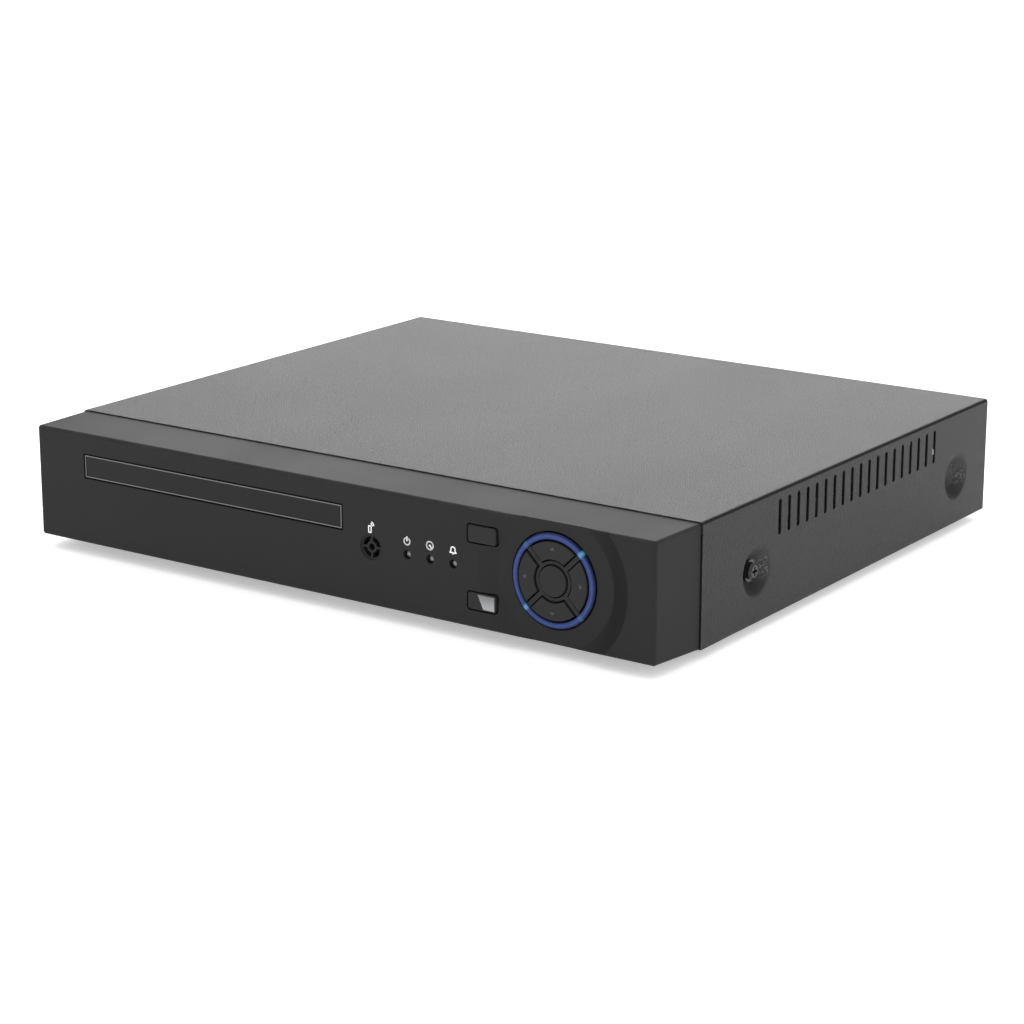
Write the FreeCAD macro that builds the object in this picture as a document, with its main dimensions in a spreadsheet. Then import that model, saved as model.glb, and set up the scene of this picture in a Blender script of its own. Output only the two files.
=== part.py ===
"""A desktop video recorder: steel case, moulded front with a round keypad, recorder board and hard disk.

Everything is laid out in bench coordinates, in millimetres: X across, Y back from the front face, Z up from the
underside of the case. Each sub-part's Placement then moves it so that the origin lies under the middle of the
whole recorder, on the surface that its feet stand on.
"""

import FreeCAD, Part  # noqa: E401
import math
import os
import re

import Sketcher
from FreeCAD import Placement, Rotation, Vector

doc = FreeCAD.newDocument("recorder")
sheet = doc.addObject("Spreadsheet::Sheet", "Sizes")
aliases = []
nodes = []


# ---------------------------------------------------------------- the sheet, and what reads it

def sizes(**values):
    """Adds driving dimensions to the sheet, each in a cell with its own alias."""
    for alias, number in values.items():
        aliases.append(alias)
        row = len(aliases)
        sheet.set(f"A{row}", alias)
        sheet.set(f"B{row}", str(number))
        sheet.setAlias(f"B{row}", alias)
    sheet.recompute()


def linked(text):
    """An expression with each size's name turned into a reference to its cell."""
    return re.sub(r"[a-z]\w*", lambda m: "Sizes." + m[0] if m[0] in aliases else m[0], str(text))


def value(text):
    """The number that an expression of sizes comes to."""
    return float(sheet.evalExpression(linked(text)))


def bind(thing, **properties):
    """Binds properties to expressions; X, Y and Z stand for the place."""
    for name, text in properties.items():
        path = f"Placement.Base.{name.lower()}" if name in "XYZ" else name
        thing.setExpression(path, linked(text))


# ---------------------------------------------------------------- solids

TURNS = {
    "z": Rotation(),
    "y": Rotation(Vector(1, 0, 0), -90),
    "x": Rotation(Vector(0, 1, 0), 90),
    "-x": Rotation(Vector(0, 1, 0), -90),
    "-z": Rotation(Vector(1, 0, 0), 180),
    "-y": Rotation(Vector(1, 0, 0), 90),
}


def placed(thing, at, along="z", turned=0):
    """Turns a thing to its axis, turned degrees about it, and binds its place."""
    spin = Rotation(Vector(0, 0, 1), turned)
    thing.Placement = Placement(Vector(), TURNS[along].multiply(spin))
    bind(thing, X=at[0], Y=at[1], Z=at[2])
    return thing


def box(x, y, z, rounds=(), radius=None):
    """A box between pairs of expressions; rounds are the numbers of the edges that take the radius."""
    solid = doc.addObject("Part::Box", "box")
    bind(solid, X=x[0], Y=y[0], Z=z[0])
    bind(solid, Length=f"({x[1]})-({x[0]})", Width=f"({y[1]})-({y[0]})", Height=f"({z[1]})-({z[0]})")
    return rounded(solid, rounds, radius) if rounds else solid


def rounded(solid, edges, radius):
    """A solid with a radius on the edges of those numbers."""
    doc.recompute()
    fillet = doc.addObject("Part::Fillet", "fillet")
    fillet.Base = solid
    size = value(radius)
    fillet.Edges = [(number, size, size) for number in edges]
    return fillet


def about(middle, width):
    """The two ends of a width about a middle."""
    return f"({middle})-({width})/2", f"({middle})+({width})/2"


def cylinder(radius, length, at, along="z"):
    solid = doc.addObject("Part::Cylinder", "cylinder")
    bind(solid, Radius=radius, Height=length)
    return placed(solid, at, along)


def cone(start, end, length, at, along="z"):
    solid = doc.addObject("Part::Cone", "cone")
    bind(solid, Radius1=start, Radius2=end, Height=length)
    return placed(solid, at, along)


def ball(radius, at):
    solid = doc.addObject("Part::Sphere", "ball")
    bind(solid, Radius=radius)
    return placed(solid, at)


def prism(sides, radius, length, at, along="z"):
    solid = doc.addObject("Part::Prism", "prism")
    solid.Polygon = sides
    bind(solid, Circumradius=radius, Height=length)
    return placed(solid, at, along)


def fuse(*solids):
    """All the solids as one object: joined where they touch, and a group where they don't."""
    if len(solids) == 1:
        return solids[0]
    made = doc.addObject("Part::MultiFuse", "fuse")
    made.Shapes = list(solids)
    made.Refine = True
    return made


def cut(base, *tools):
    made = doc.addObject("Part::Cut", "cut")
    made.Base = base
    made.Tool = fuse(*tools)
    made.Refine = True
    return made


def common(first, second):
    made = doc.addObject("Part::Common", "common")
    made.Base = first
    made.Tool = second
    return made


def node(name, thing):
    """Names a sub-part, and moves it from the bench to the recorder's own frame."""
    thing.Label = name
    places = {path.lstrip("."): text for path, text in thing.ExpressionEngine}
    for letter, shift in (("y", "-(case_d+jack_out+side_key_y)/2"), ("z", "foot_h")):
        path = f"Placement.Base.{letter}"
        thing.setExpression(path, f"({places.get(path, '0')})+({linked(shift)})")
    nodes.append(thing)


# ---------------------------------------------------------------- bodies and sketches

def body(name):
    return doc.addObject("PartDesign::Body", name)


def sketch(owner, role, offset="0"):
    """A sketch on one of the body's own origin planes, moved along the plane's normal."""
    made = owner.newObject("Sketcher::SketchObject", "outline")
    plane = next(o for o in owner.Origin.OriginFeatures if o.Role == role)
    made.AttachmentSupport = [(plane, "")]
    made.MapMode = "FlatFace"
    made.setExpression("AttachmentOffset.Base.z", linked(offset))
    return made


def hold(drawing, geometry, point, x, y):
    """Holds a point of a sketch at expressions of sizes."""
    for direction, text in (("DistanceX", x), ("DistanceY", y)):
        index = drawing.addConstraint(
            Sketcher.Constraint(direction, -1, 1, geometry, point, value(text))
        )
        drawing.setExpression(f"Constraints[{index}]", linked(text))


def polygon(drawing, corners):
    """A closed outline of straight lines, each corner held at its own expressions."""
    ends = [Vector(value(x), value(y), 0) for x, y in corners]
    first = drawing.GeometryCount
    for number, end in enumerate(ends):
        drawing.addGeometry(Part.LineSegment(end, ends[(number + 1) % len(ends)]))
    for number, (x, y) in enumerate(corners):
        hold(drawing, first + number, 1, x, y)
        following = first + (number + 1) % len(corners)
        drawing.addConstraint(Sketcher.Constraint("Coincident", first + number, 2, following, 1))
    return drawing


def rectangle(drawing, x, y):
    return polygon(drawing, [(x[0], y[0]), (x[1], y[0]), (x[1], y[1]), (x[0], y[1])])


def feature(owner, kind, profile=None, reverse=False, **properties):
    made = owner.newObject(f"PartDesign::{kind}", kind.lower())
    if profile is not None:
        made.Profile = profile
    if reverse:
        made.Reversed = True
    for name, text in properties.items():
        made.setExpression(name, linked(text))
    doc.recompute()
    return made


def edges_where(thing, wanted):
    """The names of the edges whose middle and direction pass a test."""
    found = []
    for number, edge in enumerate(thing.Shape.Edges, start=1):
        middle = edge.valueAt((edge.FirstParameter + edge.LastParameter) / 2)
        way = edge.tangentAt((edge.FirstParameter + edge.LastParameter) / 2)
        if wanted(middle, way):
            found.append(f"Edge{number}")
    return found


def dress(owner, kind, edges, **properties):
    """A fillet or chamfer on the body's last feature."""
    base = owner.Tip
    made = owner.newObject(f"PartDesign::{kind}", kind.lower())
    made.Base = (base, edges)
    for name, text in properties.items():
        made.setExpression(name, linked(text))
    doc.recompute()
    return made


# ---------------------------------------------------------------- the case's driving dimensions

sizes(
    case_w=255, case_d=222, body_h=41, bezel_d=24.3,
    foot_h=3, jack_out=11, cover_t=0.8, base_t=1.0,
    cover_gap=0.2, seam_gap=0.4,
)

# where the side screws and their dishes are, and the dish that the keypad stands in
sizes(
    dish_front_y=57.7, dish_rear_y=198.2, dish_z=17.2,
    keypad_x=89.05, keypad_z=21.7, pad_r=15.75,
)

# the keys beside the keypad, the lights and the remote's window
sizes(
    side_key_x=62.7, menu_z=32.1, power_z=10.3,
    led_x=33.7, led_pitch=9.0, led_z=20.9, ir_x=19.35, ir_z=20.95,
)


# ---------------------------------------------------------------- bottom chassis

sizes(
    tray_w=252.6, tray_y=24.7, rear_in=1.1, flange_h=24, flange_y=30,
    joggle_d=3.4, joggle_w=20, joggle_z=5.8, lip_y=29.9, lip_h=26,
    ribbon_gap_x=80, ribbon_gap_w=18, ribbon_gap_z=6,
    thread_r=1.25, screw_r=1.75,
    post_r=3.2, post_h=5, disk_post_r=4.5, disk_post_h=3,
    slot_w=2.2, slot_l=26, slot_pitch=7, slot_count=13, slot_x=-100, slot_y=67, slot_gap=36,
    panel_top=39.6,
)
REAR = "(case_d-rear_in)"
PANEL = f"({REAR}-base_t)"

# the hard disk's place: its connector end is at disk_x1
sizes(
    disk_x0=-119, disk_l=147, disk_w=101.6, disk_y=34.4, disk_h=26.1,
    disk_hole=41.28, disk_hole_pitch=44.45, disk_hole_w=95.25,
)
DISK_X1 = "(disk_x0+disk_l)"
DISK_Z = "(base_t+disk_post_h)"
DISK_MID_Y = "(disk_y+disk_w/2)"
DISK_HOLES = [
    (f"{DISK_X1}-disk_hole-{along}*disk_hole_pitch", f"{DISK_MID_Y}+({side})*disk_hole_w/2")
    for along in (0, 1)
    for side in (-1, 1)
]

# the recorder board's place, and its screws
sizes(
    board_w=236, board_d=74.6, board_y=145, board_t=1.6, board_x=3,
    board_hole_in=5, board_hole_y=6,
)
BOARD_TOP = "(base_t+post_h+board_t)"
BOARD_HOLES = [
    (f"board_x+({side})*(board_w/2-board_hole_in)", y)
    for side in (-1, 0, 1)
    for y in ("board_y+board_hole_y", "board_y+board_d-3*board_hole_y")
]

# the bezel's own fixing posts, along its lower edge
sizes(bezel_post_end=118, bezel_post_in=52, bezel_post_right=8, bezel_post_z=10, bezel_post_r=3.2)
BEZEL_POSTS = ["-bezel_post_end", "-bezel_post_in", "bezel_post_right", "bezel_post_end"]

# connectors on the rear edge of the board
sizes(
    power_in_x=112, power_in_w=9, power_in_h=11, power_in_z=6.5, power_in_r=3.0, power_pin_r=1.0,
    lan_x=92, lan_w=16, lan_h=13.5, usb_x=71, usb_w=14, usb_h=15.8,
    hdmi_x=50, hdmi_w=15, hdmi_h=6.2, vga_x=22, vga_w=30.8, vga_h=12.5, vga_z=6.6,
    vga_screw_pitch=24.99, vga_nut_r=2.7,
    rca_x=-10, rca_pitch=14, rca_z=6.6, rca_rise=12.8, rca_r=4.15,
    bnc_x=-47, bnc_pitch=18, bnc_z=7, bnc_rise=13.9, bnc_r=4.85,
    hole_gap=0.3, port_out=0.6,
)
BNC_PLACES = [
    (f"bnc_x-{column}*bnc_pitch", f"{BOARD_TOP}+bnc_z+{row}*bnc_rise")
    for column in range(4)
    for row in range(2)
]
RCA_PLACES = [
    (f"rca_x-{column}*rca_pitch", f"{BOARD_TOP}+rca_z+{row}*rca_rise")
    for column in range(2)
    for row in range(2)
]
VGA_SCREWS = [f"vga_x+({side})*vga_screw_pitch/2" for side in (-1, 1)]

# the cover's rear tabs and their screws
sizes(tab_end=116, tab_w=10, tab_h=7, tab_screw_z=37.0, washer_r=3.6, head_r=2.8, shank_r=1.5)
TABS = ["-tab_end", "0", "tab_end"]


def port_hole(x, width, z, height):
    """A rectangular opening in the rear panel, a little larger than the connector."""
    return box(
        about(x, f"{width}+2*hole_gap"),
        (f"{PANEL}-1", f"{REAR}+1"),
        (f"{z}-hole_gap", f"{z}+{height}+hole_gap"),
    )


def round_hole(x, z, radius):
    """A round opening in the rear panel."""
    return cylinder(radius, "3*base_t", (x, f"{PANEL}-base_t", z), "y")


def joggle(side, y, with_thread):
    """A pocket pressed into the side flange, so that a dished cover can be screwed down on it."""
    outer = f"({side})*tray_w/2"
    inner = f"({side})*(tray_w/2-joggle_d-base_t)"
    ends = (inner, outer) if side > 0 else (outer, inner)
    block = box(ends, about(y, "joggle_w+2*base_t"), ("joggle_z-base_t", "flange_h"))
    hollow_x = (f"{inner}+base_t", f"{outer}+1") if side > 0 else (f"{outer}-1", f"{inner}-base_t")
    hollow = box(hollow_x, about(y, "joggle_w"), ("joggle_z", "flange_h+1"))
    tools = [hollow]
    if with_thread:
        tools.append(cylinder("thread_r", "joggle_d+3*base_t", (f"{ends[0]}-base_t", y, "dish_z"), "x"))
    return block, tools


def bottom_chassis():
    base = box(about("0", "tray_w"), ("tray_y", REAR), ("0", "base_t"))
    panel = box(about("0", "tray_w"), (PANEL, REAR), ("0", "panel_top"))
    lip = box(about("0", "tray_w"), ("lip_y", "lip_y+base_t"), ("0", "lip_h"))
    plates = [base, panel, lip]
    pieces, holes = [], []
    for side in (-1, 1):
        edge = f"({side})*(tray_w/2-base_t/2)"
        flange = box(about(edge, "base_t"), ("flange_y", PANEL), ("0", "flange_h"))
        windows = [
            box(about(edge, "3*base_t"), about(y, "joggle_w"), ("joggle_z", "flange_h+1"))
            for y in ("dish_front_y", "dish_rear_y")
        ]
        plates.append(cut(flange, *windows))
        for y, with_thread in (("dish_front_y", True), ("dish_rear_y", False)):
            block, tools = joggle(side, y, with_thread)
            pieces.append(cut(block, *tools))
    for x, y in DISK_HOLES:
        pieces.append(cylinder("disk_post_r", DISK_Z, (x, y, "0")))
        holes.append(cylinder("screw_r+0.15", f"{DISK_Z}+2", (x, y, "-1")))
    for x, y in BOARD_HOLES:
        pieces.append(cylinder("post_r", "base_t+post_h", (x, y, "0")))
        holes.append(cylinder("thread_r", "base_t+post_h+2", (x, y, "-1")))
    for bank in (-1, 1):
        for number in range(int(value("slot_count"))):
            x = f"slot_x+{number}*slot_pitch"
            y = f"slot_y+slot_gap*{(bank + 1) / 2}"
            holes.append(box(about(x, "slot_w"), about(y, "slot_l"), ("-1", "base_t+1")))
    holes.append(
        box(about("ribbon_gap_x", "ribbon_gap_w"), ("lip_y-1", "lip_y+2*base_t"), ("ribbon_gap_z", "lip_h+1"))
    )
    for x in BEZEL_POSTS:
        holes.append(cylinder("shank_r+0.2", "3*base_t", (x, "lip_y-base_t", "bezel_post_z"), "y"))
    holes += [
        port_hole("power_in_x", "power_in_w", BOARD_TOP, "power_in_h+1"),
        port_hole("lan_x", "lan_w", BOARD_TOP, "lan_h"),
        port_hole("usb_x", "usb_w", BOARD_TOP, "usb_h"),
        port_hole("hdmi_x", "hdmi_w", BOARD_TOP, "hdmi_h"),
        port_hole("vga_x", "17", f"{BOARD_TOP}+vga_z-4.4", "8.8"),
    ]
    for x in VGA_SCREWS:
        holes.append(round_hole(x, f"{BOARD_TOP}+vga_z", "vga_nut_r+hole_gap"))
    for x, z in BNC_PLACES:
        holes.append(round_hole(x, z, "bnc_r+hole_gap"))
    for x, z in RCA_PLACES:
        holes.append(round_hole(x, z, "rca_r+hole_gap"))
    for x in TABS:
        holes.append(round_hole(x, "tab_screw_z", "thread_r"))
    node("bottom_chassis", cut(fuse(*plates, *pieces), *holes))


# ---------------------------------------------------------------- top cover

sizes(
    bend_r=1.2, vent_w=1.85, vent_l=11.8, vent_pitch=6.01, vent_count=19, vent_y=72.0, vent_z=31.9,
    dish_r=8.2, dish_floor_r=4.2, dish_depth=3.0, dish_hole_r=1.7, dish_rim_r=2.8, dish_foot_r=1.4,
)
COVER_Y = "(bezel_d+seam_gap)"


def dish(side, y):
    """One pressed dish: the metal behind it, and the hollow with soft edges that is cut out of both."""
    mouth = (f"({side})*case_w/2", y, "dish_z")
    inward = "-x" if side > 0 else "x"
    metal = cone("dish_r+cover_t*0.8", "dish_floor_r+cover_t*0.6", "dish_depth+cover_t", mouth, inward)
    hollow = body("hollow")
    half = sketch(hollow, "XZ_Plane")
    polygon(half, [
        ("0", "-1"), ("dish_r+dish_rim_r", "-1"), ("dish_r+dish_rim_r", "0"), ("dish_r", "0"),
        ("dish_floor_r", "dish_depth"), ("0", "dish_depth"),
    ])
    turn = feature(hollow, "Revolution", half, Angle="360")
    turn.ReferenceAxis = (next(o for o in hollow.Origin.OriginFeatures if o.Role == "Z_Axis"), [""])
    doc.recompute()
    for radius, depth, soft in (("dish_r", "0", "dish_rim_r"), ("dish_floor_r", "dish_depth", "dish_foot_r")):
        away, down = value(radius), value(depth)
        round_edge = edges_where(
            hollow.Tip, lambda p, way: abs(math.hypot(p.x, p.y) - away) < 0.05 and abs(p.z - down) < 0.05
        )
        dress(hollow, "Fillet", round_edge, Radius=soft)
    return metal, placed(hollow, mouth, inward)


def top_cover():
    cover = body("cover")
    profile = sketch(cover, "XZ_Plane", f"-{COVER_Y}")
    outer, inner, low, high = "case_w/2", "(case_w/2-cover_t)", "cover_gap", "body_h"
    polygon(profile, [
        (f"-{outer}", low), (f"-{outer}", high), (outer, high), (outer, low),
        (inner, low), (inner, f"{high}-cover_t"), (f"-{inner}", f"{high}-cover_t"), (f"-{inner}", low),
    ])
    feature(cover, "Pad", profile, reverse=True, Length=f"case_d-{COVER_Y}")
    top, wall = value("body_h"), value("case_w/2")
    thin = value("cover_t")
    bends = edges_where(
        cover.Tip, lambda p, way: abs(way.y) > 0.9 and p.z > top - 0.1 and abs(p.x) > wall - 0.1
    )
    dress(cover, "Fillet", bends, Radius="bend_r")
    folds = edges_where(
        cover.Tip,
        lambda p, way: abs(way.y) > 0.9 and abs(p.z - top + thin) < 0.1 and abs(p.x) > wall - 2 * thin,
    )
    dress(cover, "Fillet", folds, Radius="bend_r-cover_t")
    vent = sketch(cover, "YZ_Plane")
    rectangle(vent, about("vent_y", "vent_w"), about("vent_z", "vent_l"))
    slot = feature(cover, "Pocket", vent)
    slot.Type = "ThroughAll"
    slot.Midplane = True
    doc.recompute()
    ends = edges_where(
        cover.Tip,
        lambda p, way: abs(way.x) > 0.9
        and abs(p.y - value("vent_y")) < value("vent_w") and abs(p.z - value("vent_z")) < value("vent_l"),
    )
    rounds = dress(cover, "Fillet", ends, Radius="vent_w/2-0.05")
    row = cover.newObject("PartDesign::LinearPattern", "vents")
    row.Originals = [slot, rounds]
    row.Direction = (next(o for o in cover.Origin.OriginFeatures if o.Role == "Y_Axis"), [""])
    row.setExpression("Length", linked("vent_pitch*(vent_count-1)"))
    row.setExpression("Occurrences", linked("vent_count"))
    cover.Tip = row
    doc.recompute()
    metals, hollows = [], []
    for side in (-1, 1):
        for y in ("dish_front_y", "dish_rear_y"):
            metal, hollow = dish(side, y)
            metals.append(metal)
            hollows.append(hollow)
        hollows.append(
            cylinder("dish_hole_r", "case_w/2", (f"{min(side, 0)}*case_w/2", "dish_front_y", "dish_z"), "x")
        )
    for x in TABS:
        metals.append(
            box(about(x, "tab_w"), ("case_d-cover_t", "case_d"), ("body_h-tab_h", "body_h-cover_t/2"),
                rounds=(4, 8), radius="2*cover_t")
        )
        hollows.append(cylinder("shank_r+0.2", "3*cover_t", (x, "case_d-2*cover_t", "tab_screw_z"), "y"))
    node("top_cover", cut(fuse(cover, *metals), *hollows))


# ---------------------------------------------------------------- front bezel

sizes(
    bezel_w=254, bezel_front_w=252.4,
    bezel_low=0.1, bezel_front_low=1.4, bezel_high=40.6, bezel_front_high=40.5,
    bezel_t=2.2, bezel_edge_r=1.1, collar_l=4, collar_t=1.4, collar_in=0.9,
    pad_dish_r=27.7, pad_floor_r=21.3, pad_dish_d=1.2, pad_back=4.4, pad_back_r=30.4,
    key_well_w=11.6, key_well_h=6.5, key_well_r=1.3, key_back_w=16,
    led_hole_r=1.5, ir_hub_r=1.15, ir_in_r=1.95, ir_out_r=3.55, ir_spoke=0.7, ir_recess_r=4.3, ir_recess_d=0.35,
    label_x=-48.45, label_z=29.05, label_w=111.7, label_h=7.7, label_d=1.0, label_gap=0.45,
    front_board_y=11.5, boss_r=2.6, boss_hole_r=0.95, boss_x0=17.5, boss_x1=110.5, boss_low=8.6, boss_high=34.4,
)
BEZEL_BOSSES = [(x, z) for x in ("boss_x0", "boss_x1") for z in ("boss_low", "boss_high")]


def bezel_skin():
    """The outer form: a little wider and deeper at the back than at the face, with small radii."""
    skin = body("bezel_skin")
    side = sketch(skin, "YZ_Plane")
    polygon(side, [
        ("0", "bezel_front_low"), ("bezel_d", "bezel_low"), ("bezel_d", "bezel_high"), ("0", "bezel_front_high")
    ])
    form = feature(skin, "Pad", side, Length="bezel_w")
    form.Midplane = True
    ends = sketch(skin, "XY_Plane")
    for way in (-1, 1):
        polygon(ends, [
            (f"({way})*bezel_front_w/2", "-1"), (f"({way})*bezel_w/2", "bezel_d"),
            (f"({way})*(bezel_w/2+5)", "bezel_d"), (f"({way})*(bezel_w/2+5)", "-1"),
        ])
    taper = feature(skin, "Pocket", ends)
    taper.Type = "ThroughAll"
    taper.Midplane = True
    doc.recompute()
    depth = value("bezel_d")
    dress(skin, "Fillet", edges_where(skin.Tip, lambda p, way: p.y < depth - 0.1), Radius="bezel_edge_r")
    return skin


def grille_slot(turn):
    """One quarter of the slotted ring in front of the remote's window."""
    length = "3*bezel_t"
    ring = cut(
        cylinder("ir_out_r", length, ("ir_x", "-bezel_t", "ir_z"), "y"),
        cylinder("ir_in_r", length, ("ir_x", "-bezel_t", "ir_z"), "y"),
    )
    right, up = turn
    x = ("ir_x+ir_spoke/2", "ir_x+2*ir_out_r") if right > 0 else ("ir_x-2*ir_out_r", "ir_x-ir_spoke/2")
    z = ("ir_z+ir_spoke/2", "ir_z+2*ir_out_r") if up > 0 else ("ir_z-2*ir_out_r", "ir_z-ir_spoke/2")
    return common(ring, box(x, ("-bezel_t", "2*bezel_t"), z))


def front_bezel():
    wall = "bezel_t"
    cavity = box(
        about("0", "bezel_front_w-2*bezel_t"), (wall, "bezel_d+1"),
        (f"bezel_front_low+{wall}", f"bezel_front_high-{wall}"),
    )
    collar_x = about("0", "bezel_w-2*collar_in")
    collar = cut(
        box(collar_x, ("bezel_d-2", "bezel_d+collar_l"), ("base_t+0.2", "bezel_high-collar_in")),
        box(about("0", "bezel_w-2*collar_in-2*collar_t"), ("bezel_d-3", "bezel_d+collar_l+1"),
            ("base_t+0.2+collar_t", "bezel_high-collar_in-collar_t")),
    )
    inside = box(about("0", "bezel_front_w-2"), ("1", "bezel_d"), ("bezel_front_low+1", "bezel_front_high-1"))
    backs = [
        common(cylinder("pad_back_r", "pad_back-1", ("keypad_x", "1", "keypad_z"), "y"), inside),
        box(about("side_key_x", "key_back_w"), ("1", "pad_back"), ("bezel_front_low+1", "bezel_front_high-1")),
        box(about("label_x", "label_w+6"), ("1", "bezel_t+label_d"), about("label_z", "label_h+6")),
    ]
    bosses = [
        cylinder("boss_r", "front_board_y-1", (x, "1", z), "y") for x, z in BEZEL_BOSSES
    ]
    posts = [
        cylinder("bezel_post_r", "lip_y-0.1-1", (x, "1", "bezel_post_z"), "y") for x in BEZEL_POSTS
    ]
    shell = fuse(cut(bezel_skin(), cavity), collar, *backs, *bosses, *posts)
    holes = [
        cone("pad_dish_r", "pad_floor_r", "pad_dish_d", ("keypad_x", "0", "keypad_z"), "y"),
        cylinder("pad_dish_r", "1", ("keypad_x", "-1", "keypad_z"), "y"),
        cylinder("pad_r", "3*pad_back", ("keypad_x", "-1", "keypad_z"), "y"),
        box(about("label_x", "label_w+2*label_gap"), ("-1", "label_d"),
            about("label_z", "label_h+2*label_gap")),
        cylinder("ir_recess_r", "ir_recess_d+1", ("ir_x", "-1", "ir_z"), "y"),
        cylinder("ir_hub_r", "3*bezel_t", ("ir_x", "-1", "ir_z"), "y"),
    ]
    for z in ("menu_z", "power_z"):
        holes.append(
            box(about("side_key_x", "key_well_w"), ("-2", "3*pad_back"), about(z, "key_well_h"),
                rounds=(2, 4, 6, 8), radius="key_well_r")
        )
    for number in range(3):
        holes.append(cylinder("led_hole_r", "3*bezel_t", (f"led_x+{number}*led_pitch", "-1", "led_z"), "y"))
    holes += [grille_slot((right, up)) for right in (-1, 1) for up in (-1, 1)]
    for x, z in BEZEL_BOSSES:
        holes.append(cylinder("boss_hole_r", "front_board_y", (x, "pad_back", z), "y"))
    for x in BEZEL_POSTS:
        holes.append(cylinder("thread_r", "lip_y", (x, "lip_y-12", "bezel_post_z"), "y"))
    node("front_bezel", cut(shell, *holes))


# ---------------------------------------------------------------- feet, screws and the name plate

sizes(
    foot_r=7.5, foot_in=20, foot_edge=1.0, foot_dimple_r=3.5, foot_dimple=0.6,
    washer_t=0.8, head_t=1.7, cross_w=0.75, cross_l=3.1, cross_d=1.1,
    plate_t=0.7, frame_w=0.35, frame_t=0.9,
)


def rubber_feet():
    feet = []
    for side in (-1, 1):
        for y in ("bezel_d+foot_in", "case_d-foot_in"):
            x = f"({side})*(case_w/2-foot_in)"
            stem = cylinder("foot_r", "foot_h-foot_edge", (x, y, "-(foot_h-foot_edge)"))
            tread = cone("foot_r", "foot_r-foot_edge", "foot_edge", (x, y, "-(foot_h-foot_edge)"), "-z")
            dimple = cylinder("foot_dimple_r", "foot_dimple", (x, y, "-foot_h"))
            feet.append(cut(fuse(stem, tread), dimple))
    node("rubber_feet", fuse(*feet))


def screw(at, along, reach, washer=True):
    """A pan-head screw with a cross recess; its seat is at the place, and its shank runs along the axis."""
    back = {"x": "-x", "-x": "x", "y": "-y", "-y": "y", "z": "-z", "-z": "z"}[along]
    axis = along[-1]
    sign = -1 if along.startswith("-") else 1
    seat = dict(zip("xyz", at))

    def moved(distance):
        spot = dict(seat)
        spot[axis] = f"{seat[axis]}-({sign})*({distance})"
        return tuple(spot[letter] for letter in "xyz")

    solids = [cylinder("shank_r-0.3", reach, at, along)]
    lift = "0"
    if washer:
        solids.append(cylinder("washer_r", "washer_t", at, back))
        lift = "washer_t"
    head = cylinder("head_r", "head_t*0.55", moved(lift), back)
    dome = cone("head_r", "head_r*0.72", "head_t*0.45", moved(f"{lift}+head_t*0.55"), back)
    solids += [head, dome]
    spans = {letter: about(seat[letter], "cross_w") for letter in "xyz"}
    slots = []
    for letter in "xyz".replace(axis, ""):
        reach_of = dict(spans)
        reach_of[letter] = about(seat[letter], "cross_l")
        far, near = f"{lift}+head_t+1", f"{lift}+head_t-cross_d"
        ends = [f"{seat[axis]}-({sign})*({far})", f"{seat[axis]}-({sign})*({near})"]
        reach_of[axis] = tuple(ends if sign > 0 else reversed(ends))
        slots.append(box(reach_of["x"], reach_of["y"], reach_of["z"]))
    return cut(fuse(*solids), *slots)


def screws():
    floor = "(case_w/2-dish_depth)"
    node("cover_screws", fuse(
        screw((f"-{floor}", "dish_front_y", "dish_z"), "x", "4"),
        screw((floor, "dish_front_y", "dish_z"), "-x", "4"),
        *[screw((x, "case_d", "tab_screw_z"), "-y", "4") for x in TABS],
    ))
    node("bezel_screws", fuse(*[
        screw((x, "lip_y+base_t", "bezel_post_z"), "-y", "8") for x in BEZEL_POSTS
    ]))
    node("board_screws", fuse(*[
        screw((x, y, BOARD_TOP), "-z", "5", washer=False) for x, y in BOARD_HOLES
    ]))
    node("disk_screws", fuse(*[
        screw((x, y, "0"), "z", f"{DISK_Z}+3", washer=False) for x, y in DISK_HOLES
    ]))


def name_plate():
    depth = "label_d"
    frame = cut(
        box(about("label_x", "label_w"), (f"{depth}-frame_t", depth), about("label_z", "label_h")),
        box(about("label_x", "label_w-2*frame_w"), ("-1", f"{depth}+1"), about("label_z", "label_h-2*frame_w")),
    )
    node("label_frame", frame)
    plate = box(
        about("label_x", "label_w-2*frame_w"), (f"{depth}-plate_t", depth),
        about("label_z", "label_h-2*frame_w"),
    )
    node("label_plate", plate)


# ---------------------------------------------------------------- keypad

sizes(
    ring_out=15.25, ring_in=13.05, ring_y=0.35, ring_flange_r=18, ring_flange_y=4.5, ring_flange_t=1.2,
    hub_in=5.4, hub_out=6.4, spoke_w=1.5, spoke_y=0.7, spoke_back=4.0, rim_y=5.75, rim_t=0.9, rim_r=17.6,
    foot_of_spoke=1.3, flat_gap=0.25, key_gap=0.45, key_y=0.1, key_in=6.9, key_out=12.6,
    key_back=5.0, key_flange_y=4.1, key_lap=0.55, key_soft=0.35, ok_r=5.0, ok_flange_r=6.1,
    stem_r=1.6, plunger_y=7.0, side_key_w=10.7, side_key_h=5.6, side_key_y=-0.1, side_key_r=0.9,
    side_flange_w=13.4, side_flange_h=8.6, side_flange_y=4.45, side_flange_t=0.9, window_w=5.4, window_d=0.8,
    window_slant=1.1,
)


# how far round from the keypad's right each spoke stands, in degrees
DIAGONALS = (45, 135, 225, 315)


def ring_solid(outer, inner, y0, y1):
    """A flat ring about the keypad's axis."""
    length = f"({y1})-({y0})"
    return cut(
        cylinder(outer, length, ("keypad_x", y0, "keypad_z"), "y"),
        cylinder(inner, f"{length}+2", ("keypad_x", f"{y0}-1", "keypad_z"), "y"),
    )


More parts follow.
